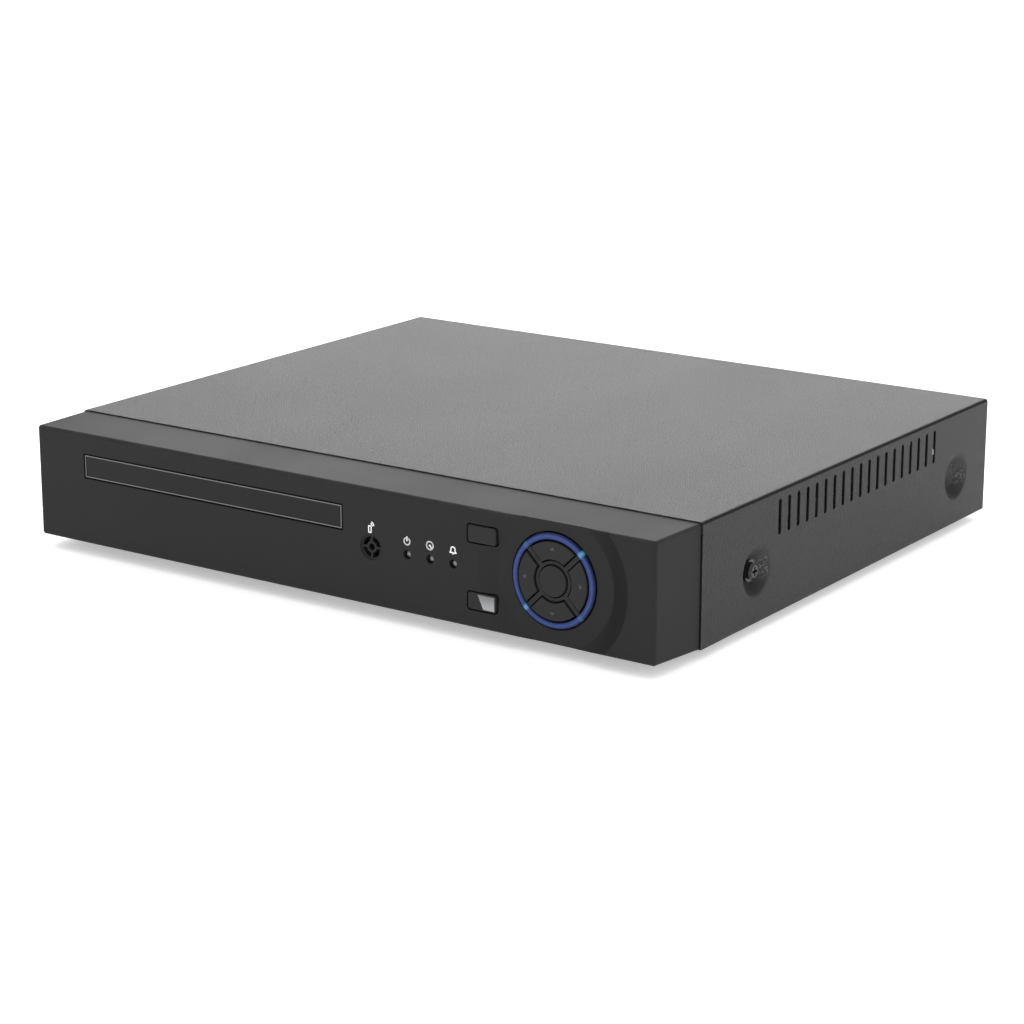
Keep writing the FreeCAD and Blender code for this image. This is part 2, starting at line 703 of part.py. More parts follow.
def flats():
    """What is taken off a flange behind the keypad, so that it clears the bezel's top and bottom walls."""
    x, y = about("keypad_x", "3*ring_out"), ("ring_flange_y-0.05", "rim_y+rim_t+1")
    return [
        box(x, y, ("bezel_front_high-bezel_t-flat_gap", "body_h+5")),
        box(x, y, ("-5", "bezel_front_low+bezel_t+flat_gap")),
    ]


def light_ring():
    ring = body("ring")
    half = sketch(ring, "YZ_Plane")
    polygon(half, [
        ("ring_y+0.3", "ring_in"), ("ring_y", "ring_in+0.3"), ("ring_y", "ring_out-0.5"),
        ("ring_y+0.5", "ring_out"), ("ring_flange_y", "ring_out"), ("ring_flange_y", "ring_flange_r"),
        ("ring_flange_y+ring_flange_t", "ring_flange_r"), ("ring_flange_y+ring_flange_t", "ring_in"),
    ])
    turn = feature(ring, "Revolution", half, Angle="360")
    turn.ReferenceAxis = (next(o for o in ring.Origin.OriginFeatures if o.Role == "Y_Axis"), [""])
    doc.recompute()
    bind(ring, X="keypad_x", Z="keypad_z")
    node("light_ring", cut(ring, *flats()))


def spoke(turn, width, inner, outer, y0, y1):
    """A bar from one radius to another, standing turn degrees from the keypad's right."""
    bar = doc.addObject("Part::Box", "spoke")
    bind(bar, Length=f"{outer}-({inner})", Width=width, Height=f"({y1})-({y0})")
    angle = math.radians(turn)
    way = (math.cos(angle), math.sin(angle))
    bar.Placement = Placement(Vector(), Rotation(Vector(0, 1, 0), -turn).multiply(TURNS["y"]))
    bind(
        bar,
        X=f"keypad_x+({inner})*{way[0]:.6f}-({width})/2*{way[1]:.6f}",
        Y=y0,
        Z=f"keypad_z+({inner})*{way[1]:.6f}+({width})/2*{way[0]:.6f}",
    )
    return bar


def key_spider():
    hub = ring_solid("hub_out", "hub_in", "spoke_y", "spoke_back")
    bars = [spoke(turn, "spoke_w", "hub_in+0.3", "ring_in-0.1", "spoke_y", "spoke_back") for turn in DIAGONALS]
    feet = [
        spoke(turn, "spoke_w", "ring_in-0.1-foot_of_spoke", "ring_in-0.1", "spoke_back-0.5", "rim_y+rim_t")
        for turn in DIAGONALS
    ]
    rim = ring_solid("rim_r", "ring_in-0.9", "rim_y", "rim_y+rim_t")
    node("key_spider", cut(fuse(hub, rim, *bars, *feet), *flats()))


def quadrant(turn, reach):
    """The wedge of the keypad that one arrow key may fill, between the two spokes beside it."""
    keep_out = [
        spoke(turn + side, f"spoke_w+2*({reach})", "0", "2*ring_out", "-2", "3*key_back") for side in (-45, 45)
    ]
    corner = doc.addObject("Part::Box", "corner")
    bind(corner, Length="2*ring_out", Width="2*ring_out", Height="3*key_back+2")
    corner.Placement = Placement(Vector(), Rotation(Vector(0, 1, 0), -(turn + 45)).multiply(TURNS["y"]))
    bind(corner, X="keypad_x", Y="-2", Z="keypad_z")
    return cut(corner, *keep_out)


def arrow_key():
    """The upper arrow key; the other three are the same moulding, turned about the keypad's axis."""
    cap = common(ring_solid("key_out", "key_in", "key_y", "key_back"), quadrant(90, "key_gap"))
    flange = ring_solid("ring_in-0.9-foot_of_spoke", "key_in-key_lap", "key_flange_y", "key_back")
    flange = common(flange, quadrant(90, "-key_lap"))
    stem = cylinder(
        "stem_r", "plunger_y-key_back+0.5", ("keypad_x", "key_back-0.5", "keypad_z+(key_in+key_out)/2"), "y"
    )
    return softened(fuse(cap, flange, stem))


def turned_key(name, key, turn):
    """A copy of the arrow key, turned a number of degrees about the keypad's axis."""
    made = doc.addObject("Part::Compound", "turned")
    made.Links = [key]
    across, up = round(math.cos(math.radians(turn))), round(math.sin(math.radians(turn)))
    made.Placement = Placement(Vector(), Rotation(Vector(0, 1, 0), -turn))
    bind(
        made,
        X=f"keypad_x-keypad_x*({across})+keypad_z*({up})",
        Z=f"keypad_z-keypad_x*({up})-keypad_z*({across})",
    )
    node(name, made)


def softened(key):
    """A key with a small radius round its front face."""
    doc.recompute()
    front = min(vertex.Point.y for vertex in key.Shape.Vertexes)
    edges = [
        number for number, edge in enumerate(key.Shape.Edges, start=1)
        if all(abs(vertex.Point.y - front) < 1e-4 for vertex in edge.Vertexes)
    ]
    return rounded(key, edges, "key_soft")


def centre_key():
    cap = cylinder("ok_r", "key_back-key_y", ("keypad_x", "key_y", "keypad_z"), "y")
    flange = cylinder("ok_flange_r", "key_back-key_flange_y", ("keypad_x", "key_flange_y", "keypad_z"), "y")
    stem = cylinder("stem_r", "plunger_y-key_back+0.5", ("keypad_x", "key_back-0.5", "keypad_z"), "y")
    node("key_ok", softened(fuse(cap, flange, stem)))


def side_key(name, z, with_window):
    cap = box(
        about("side_key_x", "side_key_w"), ("side_key_y", "side_flange_y+0.2"), about(z, "side_key_h"),
        rounds=(2, 4, 6, 8), radius="side_key_r",
    )
    flange = box(
        about("side_key_x", "side_flange_w"), ("side_flange_y", "side_flange_y+side_flange_t"),
        about(z, "side_flange_h"),
    )
    stem = cylinder(
        "stem_r", "plunger_y-side_flange_y", ("side_key_x", "side_flange_y", z), "y"
    )
    key = softened(fuse(cap, flange, stem))
    if with_window:
        node("key_power_window", window_solid(z, "0.05"))
        key = cut(key, window_solid(z, "0"))
    node(name, key)


def window_solid(z, gap):
    """The pale insert: its left side leans, and its other sides lie inside the key's edge."""
    insert = body("window")
    drawing = sketch(insert, "XZ_Plane", f"-(side_key_y-0.02+{gap}*0.5)")
    right = f"(side_key_x+side_key_w/2-0.55-{gap})"
    low, high = f"({z}-side_key_h/2+0.45+{gap})", f"({z}+side_key_h/2-0.45-{gap})"
    polygon(drawing, [
        (f"{right}-window_w+window_slant+2.5*{gap}", low), (right, low), (right, high),
        (f"{right}-window_w-window_slant+2.5*{gap}", high),
    ])
    feature(insert, "Pad", drawing, reverse=True, Length=f"window_d-{gap}")
    return insert


def keys():
    arrow = arrow_key()
    for name, turn in (("key_up", 0), ("key_left", 90), ("key_down", 180), ("key_right", 270)):
        turned_key(name, arrow, turn)
    centre_key()
    side_key("key_menu", "menu_z", False)
    side_key("key_power", "power_z", True)


# ---------------------------------------------------------------- front board

sizes(
    front_board_t=1.6, front_board_x0=14, front_board_x1=114, front_board_low=5.2, front_board_high=37.4,
    switch_w=6.2, switch_d=3.5, plunger_r=1.75, plunger_hole=0.1, plunger_deep=1.0, plunger_room=1.0,
    led_r=1.35, led_tip=0.8, led_collar_r=2.2, led_collar_t=0.8, ir_disc_r=5.0, ir_disc_t=0.9,
    receiver_w=6.2, receiver_h=7.4, receiver_d=4.4, receiver_r=2.4,
    ring_led=2.6, ring_led_t=1.3, ring_led_r=14.6,
    plug_w=14, plug_h=6, plug_d=5, ribbon_z=14,
)
SWITCHES = {
    "up": ("keypad_x", "keypad_z+(key_in+key_out)/2"),
    "down": ("keypad_x", "keypad_z-(key_in+key_out)/2"),
    "left": ("keypad_x-(key_in+key_out)/2", "keypad_z"),
    "right": ("keypad_x+(key_in+key_out)/2", "keypad_z"),
    "ok": ("keypad_x", "keypad_z"),
    "menu": ("side_key_x", "menu_z"),
    "power": ("side_key_x", "power_z"),
}
SWITCH_Y = "(front_board_y-switch_d)"


def front_board():
    board = box(
        ("front_board_x0", "front_board_x1"), ("front_board_y", "front_board_y+front_board_t"),
        ("front_board_low", "front_board_high"),
    )
    holes = [
        cylinder("boss_hole_r+0.3", "3*front_board_t", (x, "front_board_y-1", z), "y") for x, z in BEZEL_BOSSES
    ]
    node("front_board", cut(board, *holes))
    node("front_board_screws", fuse(*[
        board_screw(x, z) for x, z in BEZEL_BOSSES
    ]))
    cases, leds = [], []
    for key, (x, z) in SWITCHES.items():
        case = box(about(x, "switch_w"), (SWITCH_Y, "front_board_y"), about(z, "switch_w"))
        well = cylinder(
            "plunger_r+plunger_hole", "plunger_deep+plunger_room+1", (x, f"{SWITCH_Y}-1", z), "y"
        )
        cases.append(cut(case, well))
        plunger = cylinder("plunger_r", f"{SWITCH_Y}-plunger_y+plunger_deep", (x, "plunger_y", z), "y")
        node(f"plunger_{key}", plunger)
    node("tact_switches", fuse(*cases))
    for turn in DIAGONALS:
        way = (math.cos(math.radians(turn)), math.sin(math.radians(turn)))
        x, z = f"keypad_x+ring_led_r*{way[0]:.5f}", f"keypad_z+ring_led_r*{way[1]:.5f}"
        depth = ("front_board_y-ring_led_t", "front_board_y")
        leds.append(box(about(x, "ring_led"), depth, about(z, "ring_led")))
    node("ring_leds", fuse(*leds))


def board_screw(x, z):
    """A small screw that holds the front board to a boss of the bezel."""
    back = "front_board_y+front_board_t"
    head = cylinder("head_r*0.8", "1.3", (x, back, z), "y")
    shank = cylinder("boss_hole_r-0.15", "front_board_t+5", (x, f"{back}-front_board_t-5", z), "y")
    slot = box(about(x, "cross_l*0.8"), (f"{back}+0.6", f"{back}+3"), about(z, "0.6"))
    other = box(about(x, "0.6"), (f"{back}+0.6", f"{back}+3"), about(z, "cross_l*0.8"))
    return cut(fuse(head, shank), slot, other)


def indicators():
    domes = []
    for number in range(3):
        x = f"led_x+{number}*led_pitch"
        stem = cylinder("led_r", "front_board_y-led_tip-led_r", (x, "led_tip+led_r", "led_z"), "y")
        collar = cylinder("led_collar_r", "led_collar_t", (x, "bezel_t+0.1", "led_z"), "y")
        domes.append(fuse(stem, collar, ball("led_r", (x, "led_tip+led_r", "led_z"))))
    node("led_domes", fuse(*domes))
    node("ir_window", cylinder("ir_disc_r", "ir_disc_t", ("ir_x", "bezel_t+0.05", "ir_z"), "y"))
    case = box(
        about("ir_x", "receiver_w"), ("front_board_y-receiver_d", "front_board_y"), about("ir_z", "receiver_h")
    )
    eye = ball("receiver_r", ("ir_x", "front_board_y-receiver_d", "ir_z"))
    node("ir_receiver", fuse(case, eye))


# ---------------------------------------------------------------- recorder board

sizes(
    chip_t=1.2, soc_x=36, soc_y=179, soc_w=24, sink_w=30, sink_base=2, sink_h=11, fin_t=1.2, fin_count=8,
    cell_x=102, cell_y=165, cell_r=10, cell_t=3.2, holder_t=1.0, holder_h=4.4,
    cap_r=4, cap_h=11, header_h=6, header_d=7, header_in=1,
    data_x=63, data_w=15, supply_x=48, supply_w=12, ribbon_end_y=152,
)
# name, middle across and back, width and depth
CHIPS = [
    ("memory", "soc_x-26", "soc_y-7", "10", "14"),
    ("memory", "soc_x-26", "soc_y+10", "10", "14"),
    ("flash", "soc_x+26", "soc_y", "8", "6"),
    ("video decoder", "bnc_x-8", "soc_y-2", "12", "12"),
    ("video decoder", "bnc_x-36", "soc_y-2", "12", "12"),
    ("sound", "rca_x-7", "soc_y-2", "8", "10"),
    ("network", "lan_x-16", "soc_y", "8", "8"),
    ("network coil", "lan_x-4", "soc_y+12", "13", "9"),
    ("regulator", "lan_x+9", "soc_y+8", "7", "7"),
    ("regulator", "usb_x+1", "soc_y+14", "6", "6"),
    ("clock", "soc_x", "soc_y+22", "5", "3.2"),
]
CAPACITORS = [
    ("power_in_x", "soc_y+6"), ("power_in_x", "soc_y+16"), ("rca_x-18", "soc_y-15"), ("bnc_x+6", "soc_y-26"),
    ("bnc_x-50", "soc_y-16"),
]


def main_board():
    board = box(
        about("board_x", "board_w"), ("board_y", "board_y+board_d"), (f"{BOARD_TOP}-board_t", BOARD_TOP)
    )
    holes = [cylinder("shank_r+0.2", "4*board_t", (x, y, f"{BOARD_TOP}-2*board_t")) for x, y in BOARD_HOLES]
    node("main_board", cut(board, *holes))
    chips = [box(about("soc_x", "soc_w"), about("soc_y", "soc_w"), (BOARD_TOP, f"{BOARD_TOP}+chip_t"))]
    for _, x, y, width, depth in CHIPS:
        chips.append(box(about(x, width), about(y, depth), (BOARD_TOP, f"{BOARD_TOP}+chip_t")))
    node("board_chips", fuse(*chips))
    node("board_capacitors", fuse(*[
        cylinder("cap_r", "cap_h", (x, y, BOARD_TOP)) for x, y in CAPACITORS
    ]))


def heat_sink():
    low = f"{BOARD_TOP}+chip_t+0.1"
    plate = box(about("soc_x", "sink_w"), about("soc_y", "sink_w"), (low, f"{low}+sink_base"))
    fins = [
        box(about(f"soc_x-sink_w/2+fin_t/2+{number}*(sink_w-fin_t)/(fin_count-1)", "fin_t"),
            about("soc_y", "sink_w"), (low, f"{low}+sink_h"))
        for number in range(int(value("fin_count")))
    ]
    node("heat_sink", fuse(plate, *fins))


def headers():
    """The clock cell in its holder, and the plug-in headers along the board's front edge."""
    holder = cut(
        cylinder("cell_r+holder_t+0.1", "holder_h", ("cell_x", "cell_y", BOARD_TOP)),
        cylinder("cell_r+0.1", "holder_h", ("cell_x", "cell_y", f"{BOARD_TOP}+holder_t")),
        box(about("cell_x", "cell_r"), ("cell_y-2*cell_r", "cell_y"),
            (f"{BOARD_TOP}+holder_t", f"{BOARD_TOP}+9")),
    )
    node("coin_cell", cylinder("cell_r", "cell_t", ("cell_x", "cell_y", f"{BOARD_TOP}+holder_t+0.05")))
    front = "board_y+header_in"
    sockets = [
        box(about(x, width), (front, f"{front}+header_d"), (BOARD_TOP, f"{BOARD_TOP}+header_h"))
        for x, width in (("data_x", "data_w"), ("supply_x", "supply_w"))
    ]
    upright = box(
        about("ribbon_gap_x", "plug_w"), about("ribbon_end_y", "plug_h"), (BOARD_TOP, f"{BOARD_TOP}+header_h")
    )
    back = "front_board_y+front_board_t"
    front_header = box(about("ribbon_gap_x", "plug_w"), (back, f"{back}+plug_d"), about("ribbon_z", "plug_h"))
    node("board_headers", fuse(holder, upright, front_header, *sockets))


# ---------------------------------------------------------------- rear connectors

sizes(
    bnc_wall=0.75, bnc_foot=4, bnc_collar_r=6.3, bnc_collar_t=1.0, lug_r=0.95, lug_out=0.75, lug_y=4.2,
    bnc_block_w=16.4, bnc_block_d=15, bnc_block_top=7.2, dielectric_r=2.3, dielectric_in=1.6, contact_r=1.0,
    contact_hole=0.55, contact_in=2.6, contact_deep=5,
    rca_wall=0.6, rca_neck_r=3.95, rca_step=0.3, rca_out=9.5, rca_in_r=1.6, rca_foot=4,
    rca_block_w=13.4, rca_block_d=14, rca_face=1.5, rca_deep=8,
    vga_shell_w=16.3, vga_shell_h=7.9, vga_slant=1.3, vga_out=5.8, vga_t=0.5, vga_body_d=10,
    pin_r=0.65, pin_pitch=2.3, pin_row=1.98, nut_out=4.8, nut_thread_r=1.42,
    usb_open_w=12.6, usb_open_h=5.2, usb_gap=2.3, usb_deep=11, tongue_t=1.9, tongue_w=11.2, tongue_back=1.0,
    usb_d=17, hdmi_open_w=13.9, hdmi_open_h=4.5, hdmi_deep=8, hdmi_d=11.5, hdmi_cut=1.4,
    lan_d=20, lan_open_w=11.9, lan_open_h=8.2, lan_low=1.8, lan_deep=13, clip_w=6, clip_h=2.0,
    power_in_d=14, power_in_deep=9.5,
)
FACE = f"({REAR}+port_out)"


def bnc_jacks():
    shells, insulators, contacts = [], [], []
    tip = "(case_d+jack_out)"
    block_face = f"({PANEL}-0.2)"
    bores = []
    for x, z in BNC_PLACES:
        tube = cylinder("bnc_r", f"{tip}-{block_face}+bnc_foot", (x, f"{block_face}-bnc_foot", z), "y")
        collar = cylinder("bnc_collar_r", "bnc_collar_t", (x, f"{REAR}+0.05", z), "y")
        lugs = cylinder("lug_r", "2*(bnc_r+lug_out)", (f"{x}-bnc_r-lug_out", f"{tip}-lug_y", z), "x")
        core = cylinder("bnc_r-bnc_wall", "2*jack_out+20", (x, f"{block_face}-bnc_foot-1", z), "y")
        shells.append(cut(fuse(tube, collar, lugs), core))
        base = cylinder("bnc_r-bnc_wall-0.02", "bnc_foot+4", (x, f"{block_face}-bnc_foot", z), "y")
        nose = cylinder("dielectric_r", f"{tip}-dielectric_in-{REAR}", (x, REAR, z), "y")
        socket = cylinder("contact_r+0.02", "2*jack_out", (x, REAR, z), "y")
        insulators.append(cut(fuse(base, nose), socket))
        contact = cylinder("contact_r", f"{tip}-contact_in-{REAR}", (x, REAR, z), "y")
        hole = cylinder("contact_hole", "contact_deep+1", (x, f"{tip}-contact_in-contact_deep", z), "y")
        contacts.append(cut(contact, hole))
        bores.append(cylinder("bnc_r+0.02", "bnc_foot+1", (x, f"{block_face}-bnc_foot", z), "y"))
    block = box(
        ("bnc_x-3*bnc_pitch-bnc_block_w/2", "bnc_x+bnc_block_w/2"),
        (f"{block_face}-bnc_block_d", block_face),
        (BOARD_TOP, f"{BOARD_TOP}+bnc_z+bnc_rise+bnc_block_top"),
    )
    node("bnc_shells", fuse(*shells))
    node("bnc_contacts", fuse(*contacts))
    node("bnc_housing", fuse(cut(block, *bores), *insulators))


def rca_jacks():
    shells, inserts, bores = [], [], []
    block_face = f"({PANEL}-0.2)"
    for x, z in RCA_PLACES:
        length = f"rca_out+{REAR}-{block_face}+rca_foot"
        start = f"{block_face}-rca_foot"
        neck = cylinder("rca_neck_r", f"{REAR}+rca_step-({start})", (x, start, z), "y")
        sleeve = cylinder("rca_r", "rca_out-rca_step", (x, f"{REAR}+rca_step", z), "y")
        tube = fuse(neck, sleeve)
        core = cylinder("rca_r-rca_wall", f"{length}+2", (x, f"{start}-1", z), "y")
        shells.append(cut(tube, core))
        insert = cylinder("rca_r-rca_wall-0.02", f"{length}-rca_face", (x, start, z), "y")
        socket = cylinder(
            "rca_in_r", "rca_deep+1", (x, f"{start}+{length}-rca_face-rca_deep", z), "y"
        )
        inserts.append(cut(insert, socket))
        bores.append(cylinder("rca_neck_r+0.02", "rca_foot+1", (x, start, z), "y"))
    block = box(
        ("rca_x-rca_pitch-rca_block_w/2", "rca_x+rca_block_w/2"),
        (f"{block_face}-rca_block_d", block_face),
        (BOARD_TOP, f"{BOARD_TOP}+rca_z+rca_rise+rca_block_w/2"),
    )
    node("rca_shells", fuse(*shells))
    node("rca_housing", fuse(cut(block, *bores), *inserts))


def d_shape(name, width, height, y0, length):
    """A pad with the outline of a D plug: wide at the top, with leaning sides."""
    made = body(name)
    drawing = sketch(made, "XZ_Plane", f"-({y0})")
    middle = f"({BOARD_TOP}+vga_z)"
    polygon(drawing, [
        (f"vga_x-({width})/2+vga_slant", f"{middle}-({height})/2"),
        (f"vga_x+({width})/2-vga_slant", f"{middle}-({height})/2"),
        (f"vga_x+({width})/2", f"{middle}+({height})/2"),
        (f"vga_x-({width})/2", f"{middle}+({height})/2"),
    ])
    feature(made, "Pad", drawing, reverse=True, Length=length)
    tall = edges_where(made.Tip, lambda p, way: abs(way.y) > 0.9)
    dress(made, "Fillet", tall, Radius="1.3")
    return made


def vga_port():
    middle = f"({BOARD_TOP}+vga_z)"
    face = f"({PANEL}-0.1)"
    flange = box(about("vga_x", "vga_w"), (f"{face}-vga_t", face), about(middle, "vga_h-0.2"))
    out = f"vga_out+{REAR}-{face}"
    shell = fuse(flange, d_shape("d_outer", "vga_shell_w", "vga_shell_h", f"{face}-0.2", f"{out}+0.2"))
    hollow = d_shape("d_inner", "vga_shell_w-2*vga_t", "vga_shell_h-2*vga_t", f"{face}-2", f"{out}+5")
    nuts, threads = [], []
    for x in VGA_SCREWS:
        threads.append(cylinder("nut_thread_r", "20", (x, f"{face}-vga_t", middle), "y"))
        nut = prism(6, "vga_nut_r", f"nut_out+{REAR}-{face}+0.1", (x, f"{face}-0.1", middle), "y")
        nuts.append(nut)
    node("vga_shell", cut(fuse(shell, *nuts), hollow, *threads))
    back = box(
        about("vga_x", "vga_w"), (f"{face}-vga_t-vga_body_d", f"{face}-vga_t-0.05"), (BOARD_TOP, f"{middle}+vga_h/2")
    )
    nose = d_shape(
        "d_core", "vga_shell_w-2*vga_t-0.1", "vga_shell_h-2*vga_t-0.1", f"{face}-vga_t-1", f"vga_out+{REAR}-{face}"
    )
    pins = []
    for row in (-1, 0, 1):
        for column in range(5):
            x = f"vga_x+({column - 2})*pin_pitch+({row})*pin_pitch/4"
            z = f"{middle}+({row})*pin_row"
            pins.append(cylinder("pin_r", "6", (x, f"{REAR}+vga_out-vga_t-5", z), "y"))
    node("vga_insert", cut(fuse(back, nose), *pins))


def hdmi_port():
    low = BOARD_TOP
    start = f"({FACE}-hdmi_d)"
    case = box(about("hdmi_x", "hdmi_w"), (start, FACE), (low, f"{low}+hdmi_h-0.2"))
    middle = f"({low}+hdmi_h/2)"
    made = body("hdmi_hollow")
    drawing = sketch(made, "XZ_Plane", f"-({FACE}-hdmi_deep)")
    half, rise = "hdmi_open_w/2", "hdmi_open_h/2"
    polygon(drawing, [
        (f"hdmi_x-{half}+hdmi_cut", f"{middle}-{rise}"), (f"hdmi_x+{half}-hdmi_cut", f"{middle}-{rise}"),
        (f"hdmi_x+{half}", f"{middle}-{rise}+hdmi_cut"), (f"hdmi_x+{half}", f"{middle}+{rise}"),
        (f"hdmi_x-{half}", f"{middle}+{rise}"), (f"hdmi_x-{half}", f"{middle}-{rise}+hdmi_cut"),
    ])
    feature(made, "Pad", drawing, reverse=True, Length="hdmi_deep+1")
    tongue = box(
        about("hdmi_x", "hdmi_open_w-3"), (f"{FACE}-hdmi_deep-0.5", f"{FACE}-tongue_back"),
        about(f"{middle}+0.4", "1.4"),
    )
    node("hdmi_port", fuse(cut(case, made), tongue))


def usb_ports():
    start = f"({FACE}-usb_d)"
    case = box(about("usb_x", "usb_w"), (start, FACE), (BOARD_TOP, f"{BOARD_TOP}+usb_h-0.2"),
               rounds=(2, 4, 6, 8), radius="0.6")
    hollows, tongues = [], []
    for row in (0, 1):
        low = f"({BOARD_TOP}+1.4+{row}*(usb_open_h+usb_gap))"
        hollows.append(
            box(about("usb_x", "usb_open_w"), (f"{FACE}-usb_deep", f"{FACE}+1"), (low, f"{low}+usb_open_h"))
        )
        tongues.append(box(
            about("usb_x", "tongue_w"), (f"{FACE}-usb_deep-0.5", f"{FACE}-tongue_back"),
            (f"{low}+usb_open_h-tongue_t-0.5", f"{low}+usb_open_h-0.5"),
        ))
    node("usb_ports", fuse(cut(case, *hollows), *tongues))


def lan_jack():
    start = f"({FACE}-lan_d)"
    case = box(about("lan_x", "lan_w"), (start, FACE), (BOARD_TOP, f"{BOARD_TOP}+lan_h-0.2"))
    low = f"({BOARD_TOP}+lan_h-lan_low-lan_open_h)"
    hollow = box(about("lan_x", "lan_open_w"), (f"{FACE}-lan_deep", f"{FACE}+1"), (low, f"{low}+lan_open_h"))
    clip = box(about("lan_x", "clip_w"), (f"{FACE}-lan_deep", f"{FACE}+1"), (f"{low}-clip_h", f"{low}+1"))
    lamps = [
        box(about(f"lan_x+({side})*(lan_w/2-2.4)", "2.6"), (f"{FACE}-0.4", f"{FACE}+1"),
            (f"{BOARD_TOP}+0.7", f"{BOARD_TOP}+2.4"))
        for side in (-1, 1)
    ]
    node("lan_jack", cut(case, hollow, clip, *lamps))


def power_jack():
    middle = f"({BOARD_TOP}+power_in_z)"
    case = box(about("power_in_x", "power_in_w"), (f"{FACE}-power_in_d", FACE), (BOARD_TOP, f"{BOARD_TOP}+power_in_h"),
               rounds=(2, 6), radius="2")
    bore = cylinder("power_in_r", "power_in_deep+1", ("power_in_x", f"{FACE}-power_in_deep", middle), "y")
    pin = cylinder("power_pin_r", "power_in_deep-0.6", ("power_in_x", f"{FACE}-power_in_deep-0.5", middle), "y")
    node("power_jack", fuse(cut(case, bore), pin))


# ---------------------------------------------------------------- hard disk

sizes(
    disk_wall=3.2, disk_floor=7, disk_lid_t=1.5, platter_r=47.3, platter_t=1.27, platter_low=4.5, platter_rise=5.5,
    hub_r=12.5, hub_low=2, hub_h=11.5, spindle_r=3.0, spindle_gap=0.05, spindle_x=53.5,
    arm_pivot_x=60, arm_pivot_y=27, arm_post_r=3.0, arm_hub_r=6.5, arm_t=1.1, arm_w=5, arm_l=47, arm_tail=17,
    disk_post_screw_r=1.55, disk_plug_w=40, disk_plug_h=5, disk_plug_d=3, disk_plug_y=22,
    under_l=78, under_w=76, under_d=2.6,
)
SPINDLE = ("(disk_x0+spindle_x)", DISK_MID_Y)
DISK_INSIDE = f"({DISK_Z}+disk_floor)"
DISK_RIM = f"({DISK_Z}+disk_h-disk_lid_t-0.05)"
ARM = (f"({SPINDLE[0]}+arm_pivot_x)", f"({SPINDLE[1]}-arm_pivot_y)")


def hard_disk():
    case = box(("disk_x0", DISK_X1), ("disk_y", "disk_y+disk_w"), (DISK_Z, DISK_RIM),
               rounds=(1, 3, 5, 7), radius="3")
    well = cylinder("platter_r+1.2", "disk_h", (SPINDLE[0], SPINDLE[1], DISK_INSIDE))
    bay = box(
        (SPINDLE[0], f"{DISK_X1}-disk_wall"), ("disk_y+disk_wall", "disk_y+disk_w-disk_wall"),
        (DISK_INSIDE, f"{DISK_RIM}+1"),
    )
    threads = [cylinder("disk_post_screw_r", "disk_floor-1", (x, y, DISK_Z)) for x, y in DISK_HOLES]
    plug = box(
        (f"{DISK_X1}-disk_plug_d", f"{DISK_X1}+1"), about("disk_y+disk_plug_y+disk_plug_w/2", "disk_plug_w"),
        (f"{DISK_Z}+1", f"{DISK_Z}+1+disk_plug_h"),
    )
    tab = box(
        (f"{DISK_X1}-disk_plug_d-0.5", f"{DISK_X1}-0.5"), about("disk_y+disk_plug_y+disk_plug_w/2", "disk_plug_w-4"),
        (f"{DISK_Z}+3", f"{DISK_Z}+4.2"),
    )
    spindle = cylinder("spindle_r", "hub_h+hub_low-1", (*SPINDLE, f"{DISK_INSIDE}-1"))
    arm_post = cylinder("arm_post_r", "hub_h+hub_low-1", (*ARM, f"{DISK_INSIDE}-1"))
    under_x, under_y = (f"{DISK_X1}-under_l", f"{DISK_X1}-disk_plug_d-1"), about(DISK_MID_Y, "under_w")
    under = box(under_x, under_y, (f"{DISK_Z}-1", f"{DISK_Z}+under_d"))
    casting = fuse(cut(case, well, bay, *threads, plug, under), tab, spindle, arm_post)
    node("disk_casting", casting)
    card = box(
        (f"{under_x[0]}+0.5", f"{under_x[1]}-0.5"), about(DISK_MID_Y, "under_w-1"),
        (f"{DISK_Z}+0.3", f"{DISK_Z}+1.3"),
    )
    chips = [
        box(about(f"{under_x[0]}+{x}", width), about(f"{DISK_MID_Y}+({y})", width), (f"{DISK_Z}+1.3", f"{DISK_Z}+2.2"))
        for x, y, width in (("24", "12", "14"), ("26", "-16", "10"), ("48", "2", "8"))
    ]
    node("disk_board", fuse(card, *chips))
    lid = box(
        ("disk_x0+0.5", f"{DISK_X1}-0.5"), ("disk_y+0.5", "disk_y+disk_w-0.5"),
        (f"{DISK_RIM}+0.05", f"{DISK_Z}+disk_h"),
        rounds=(1, 3, 5, 7), radius="3",
    )
    node("disk_lid", lid)
    hub = cylinder("hub_r", "hub_h", (*SPINDLE, f"{DISK_INSIDE}+hub_low"))
    discs = [
        cylinder("platter_r", "platter_t", (*SPINDLE, f"{DISK_INSIDE}+platter_low+{level}*platter_rise"))
        for level in (0, 1)
    ]
    bore = cylinder("spindle_r+spindle_gap", "disk_h", (*SPINDLE, DISK_INSIDE))
    node("disk_platters", cut(fuse(hub, *discs), bore))
    node("head_arm", head_arm())


def head_arm():
    """Three flat arms and a coil paddle on one bearing; at rest the heads are off the platters."""
    hub = cylinder("arm_hub_r", "hub_h", (*ARM, f"{DISK_INSIDE}+hub_low"))
    blades = []
    for level in (-0.5, 0.5, 1.5):
        low = f"{DISK_INSIDE}+platter_low+platter_t/2+{level}*platter_rise-arm_t/2"
        blades.append(box(about(ARM[0], "arm_w"), (ARM[1], f"{ARM[1]}+arm_l"), (low, f"{low}+arm_t")))
    middle = f"{DISK_INSIDE}+platter_low+platter_t/2+0.5*platter_rise"
    tail = box((f"{ARM[0]}-arm_w", f"{ARM[0]}+arm_w"), (f"{ARM[1]}-arm_tail", ARM[1]), about(middle, "3"))
    bore = cylinder("arm_post_r+spindle_gap", "disk_h", (*ARM, DISK_INSIDE))
    return cut(fuse(hub, tail, *blades), bore)


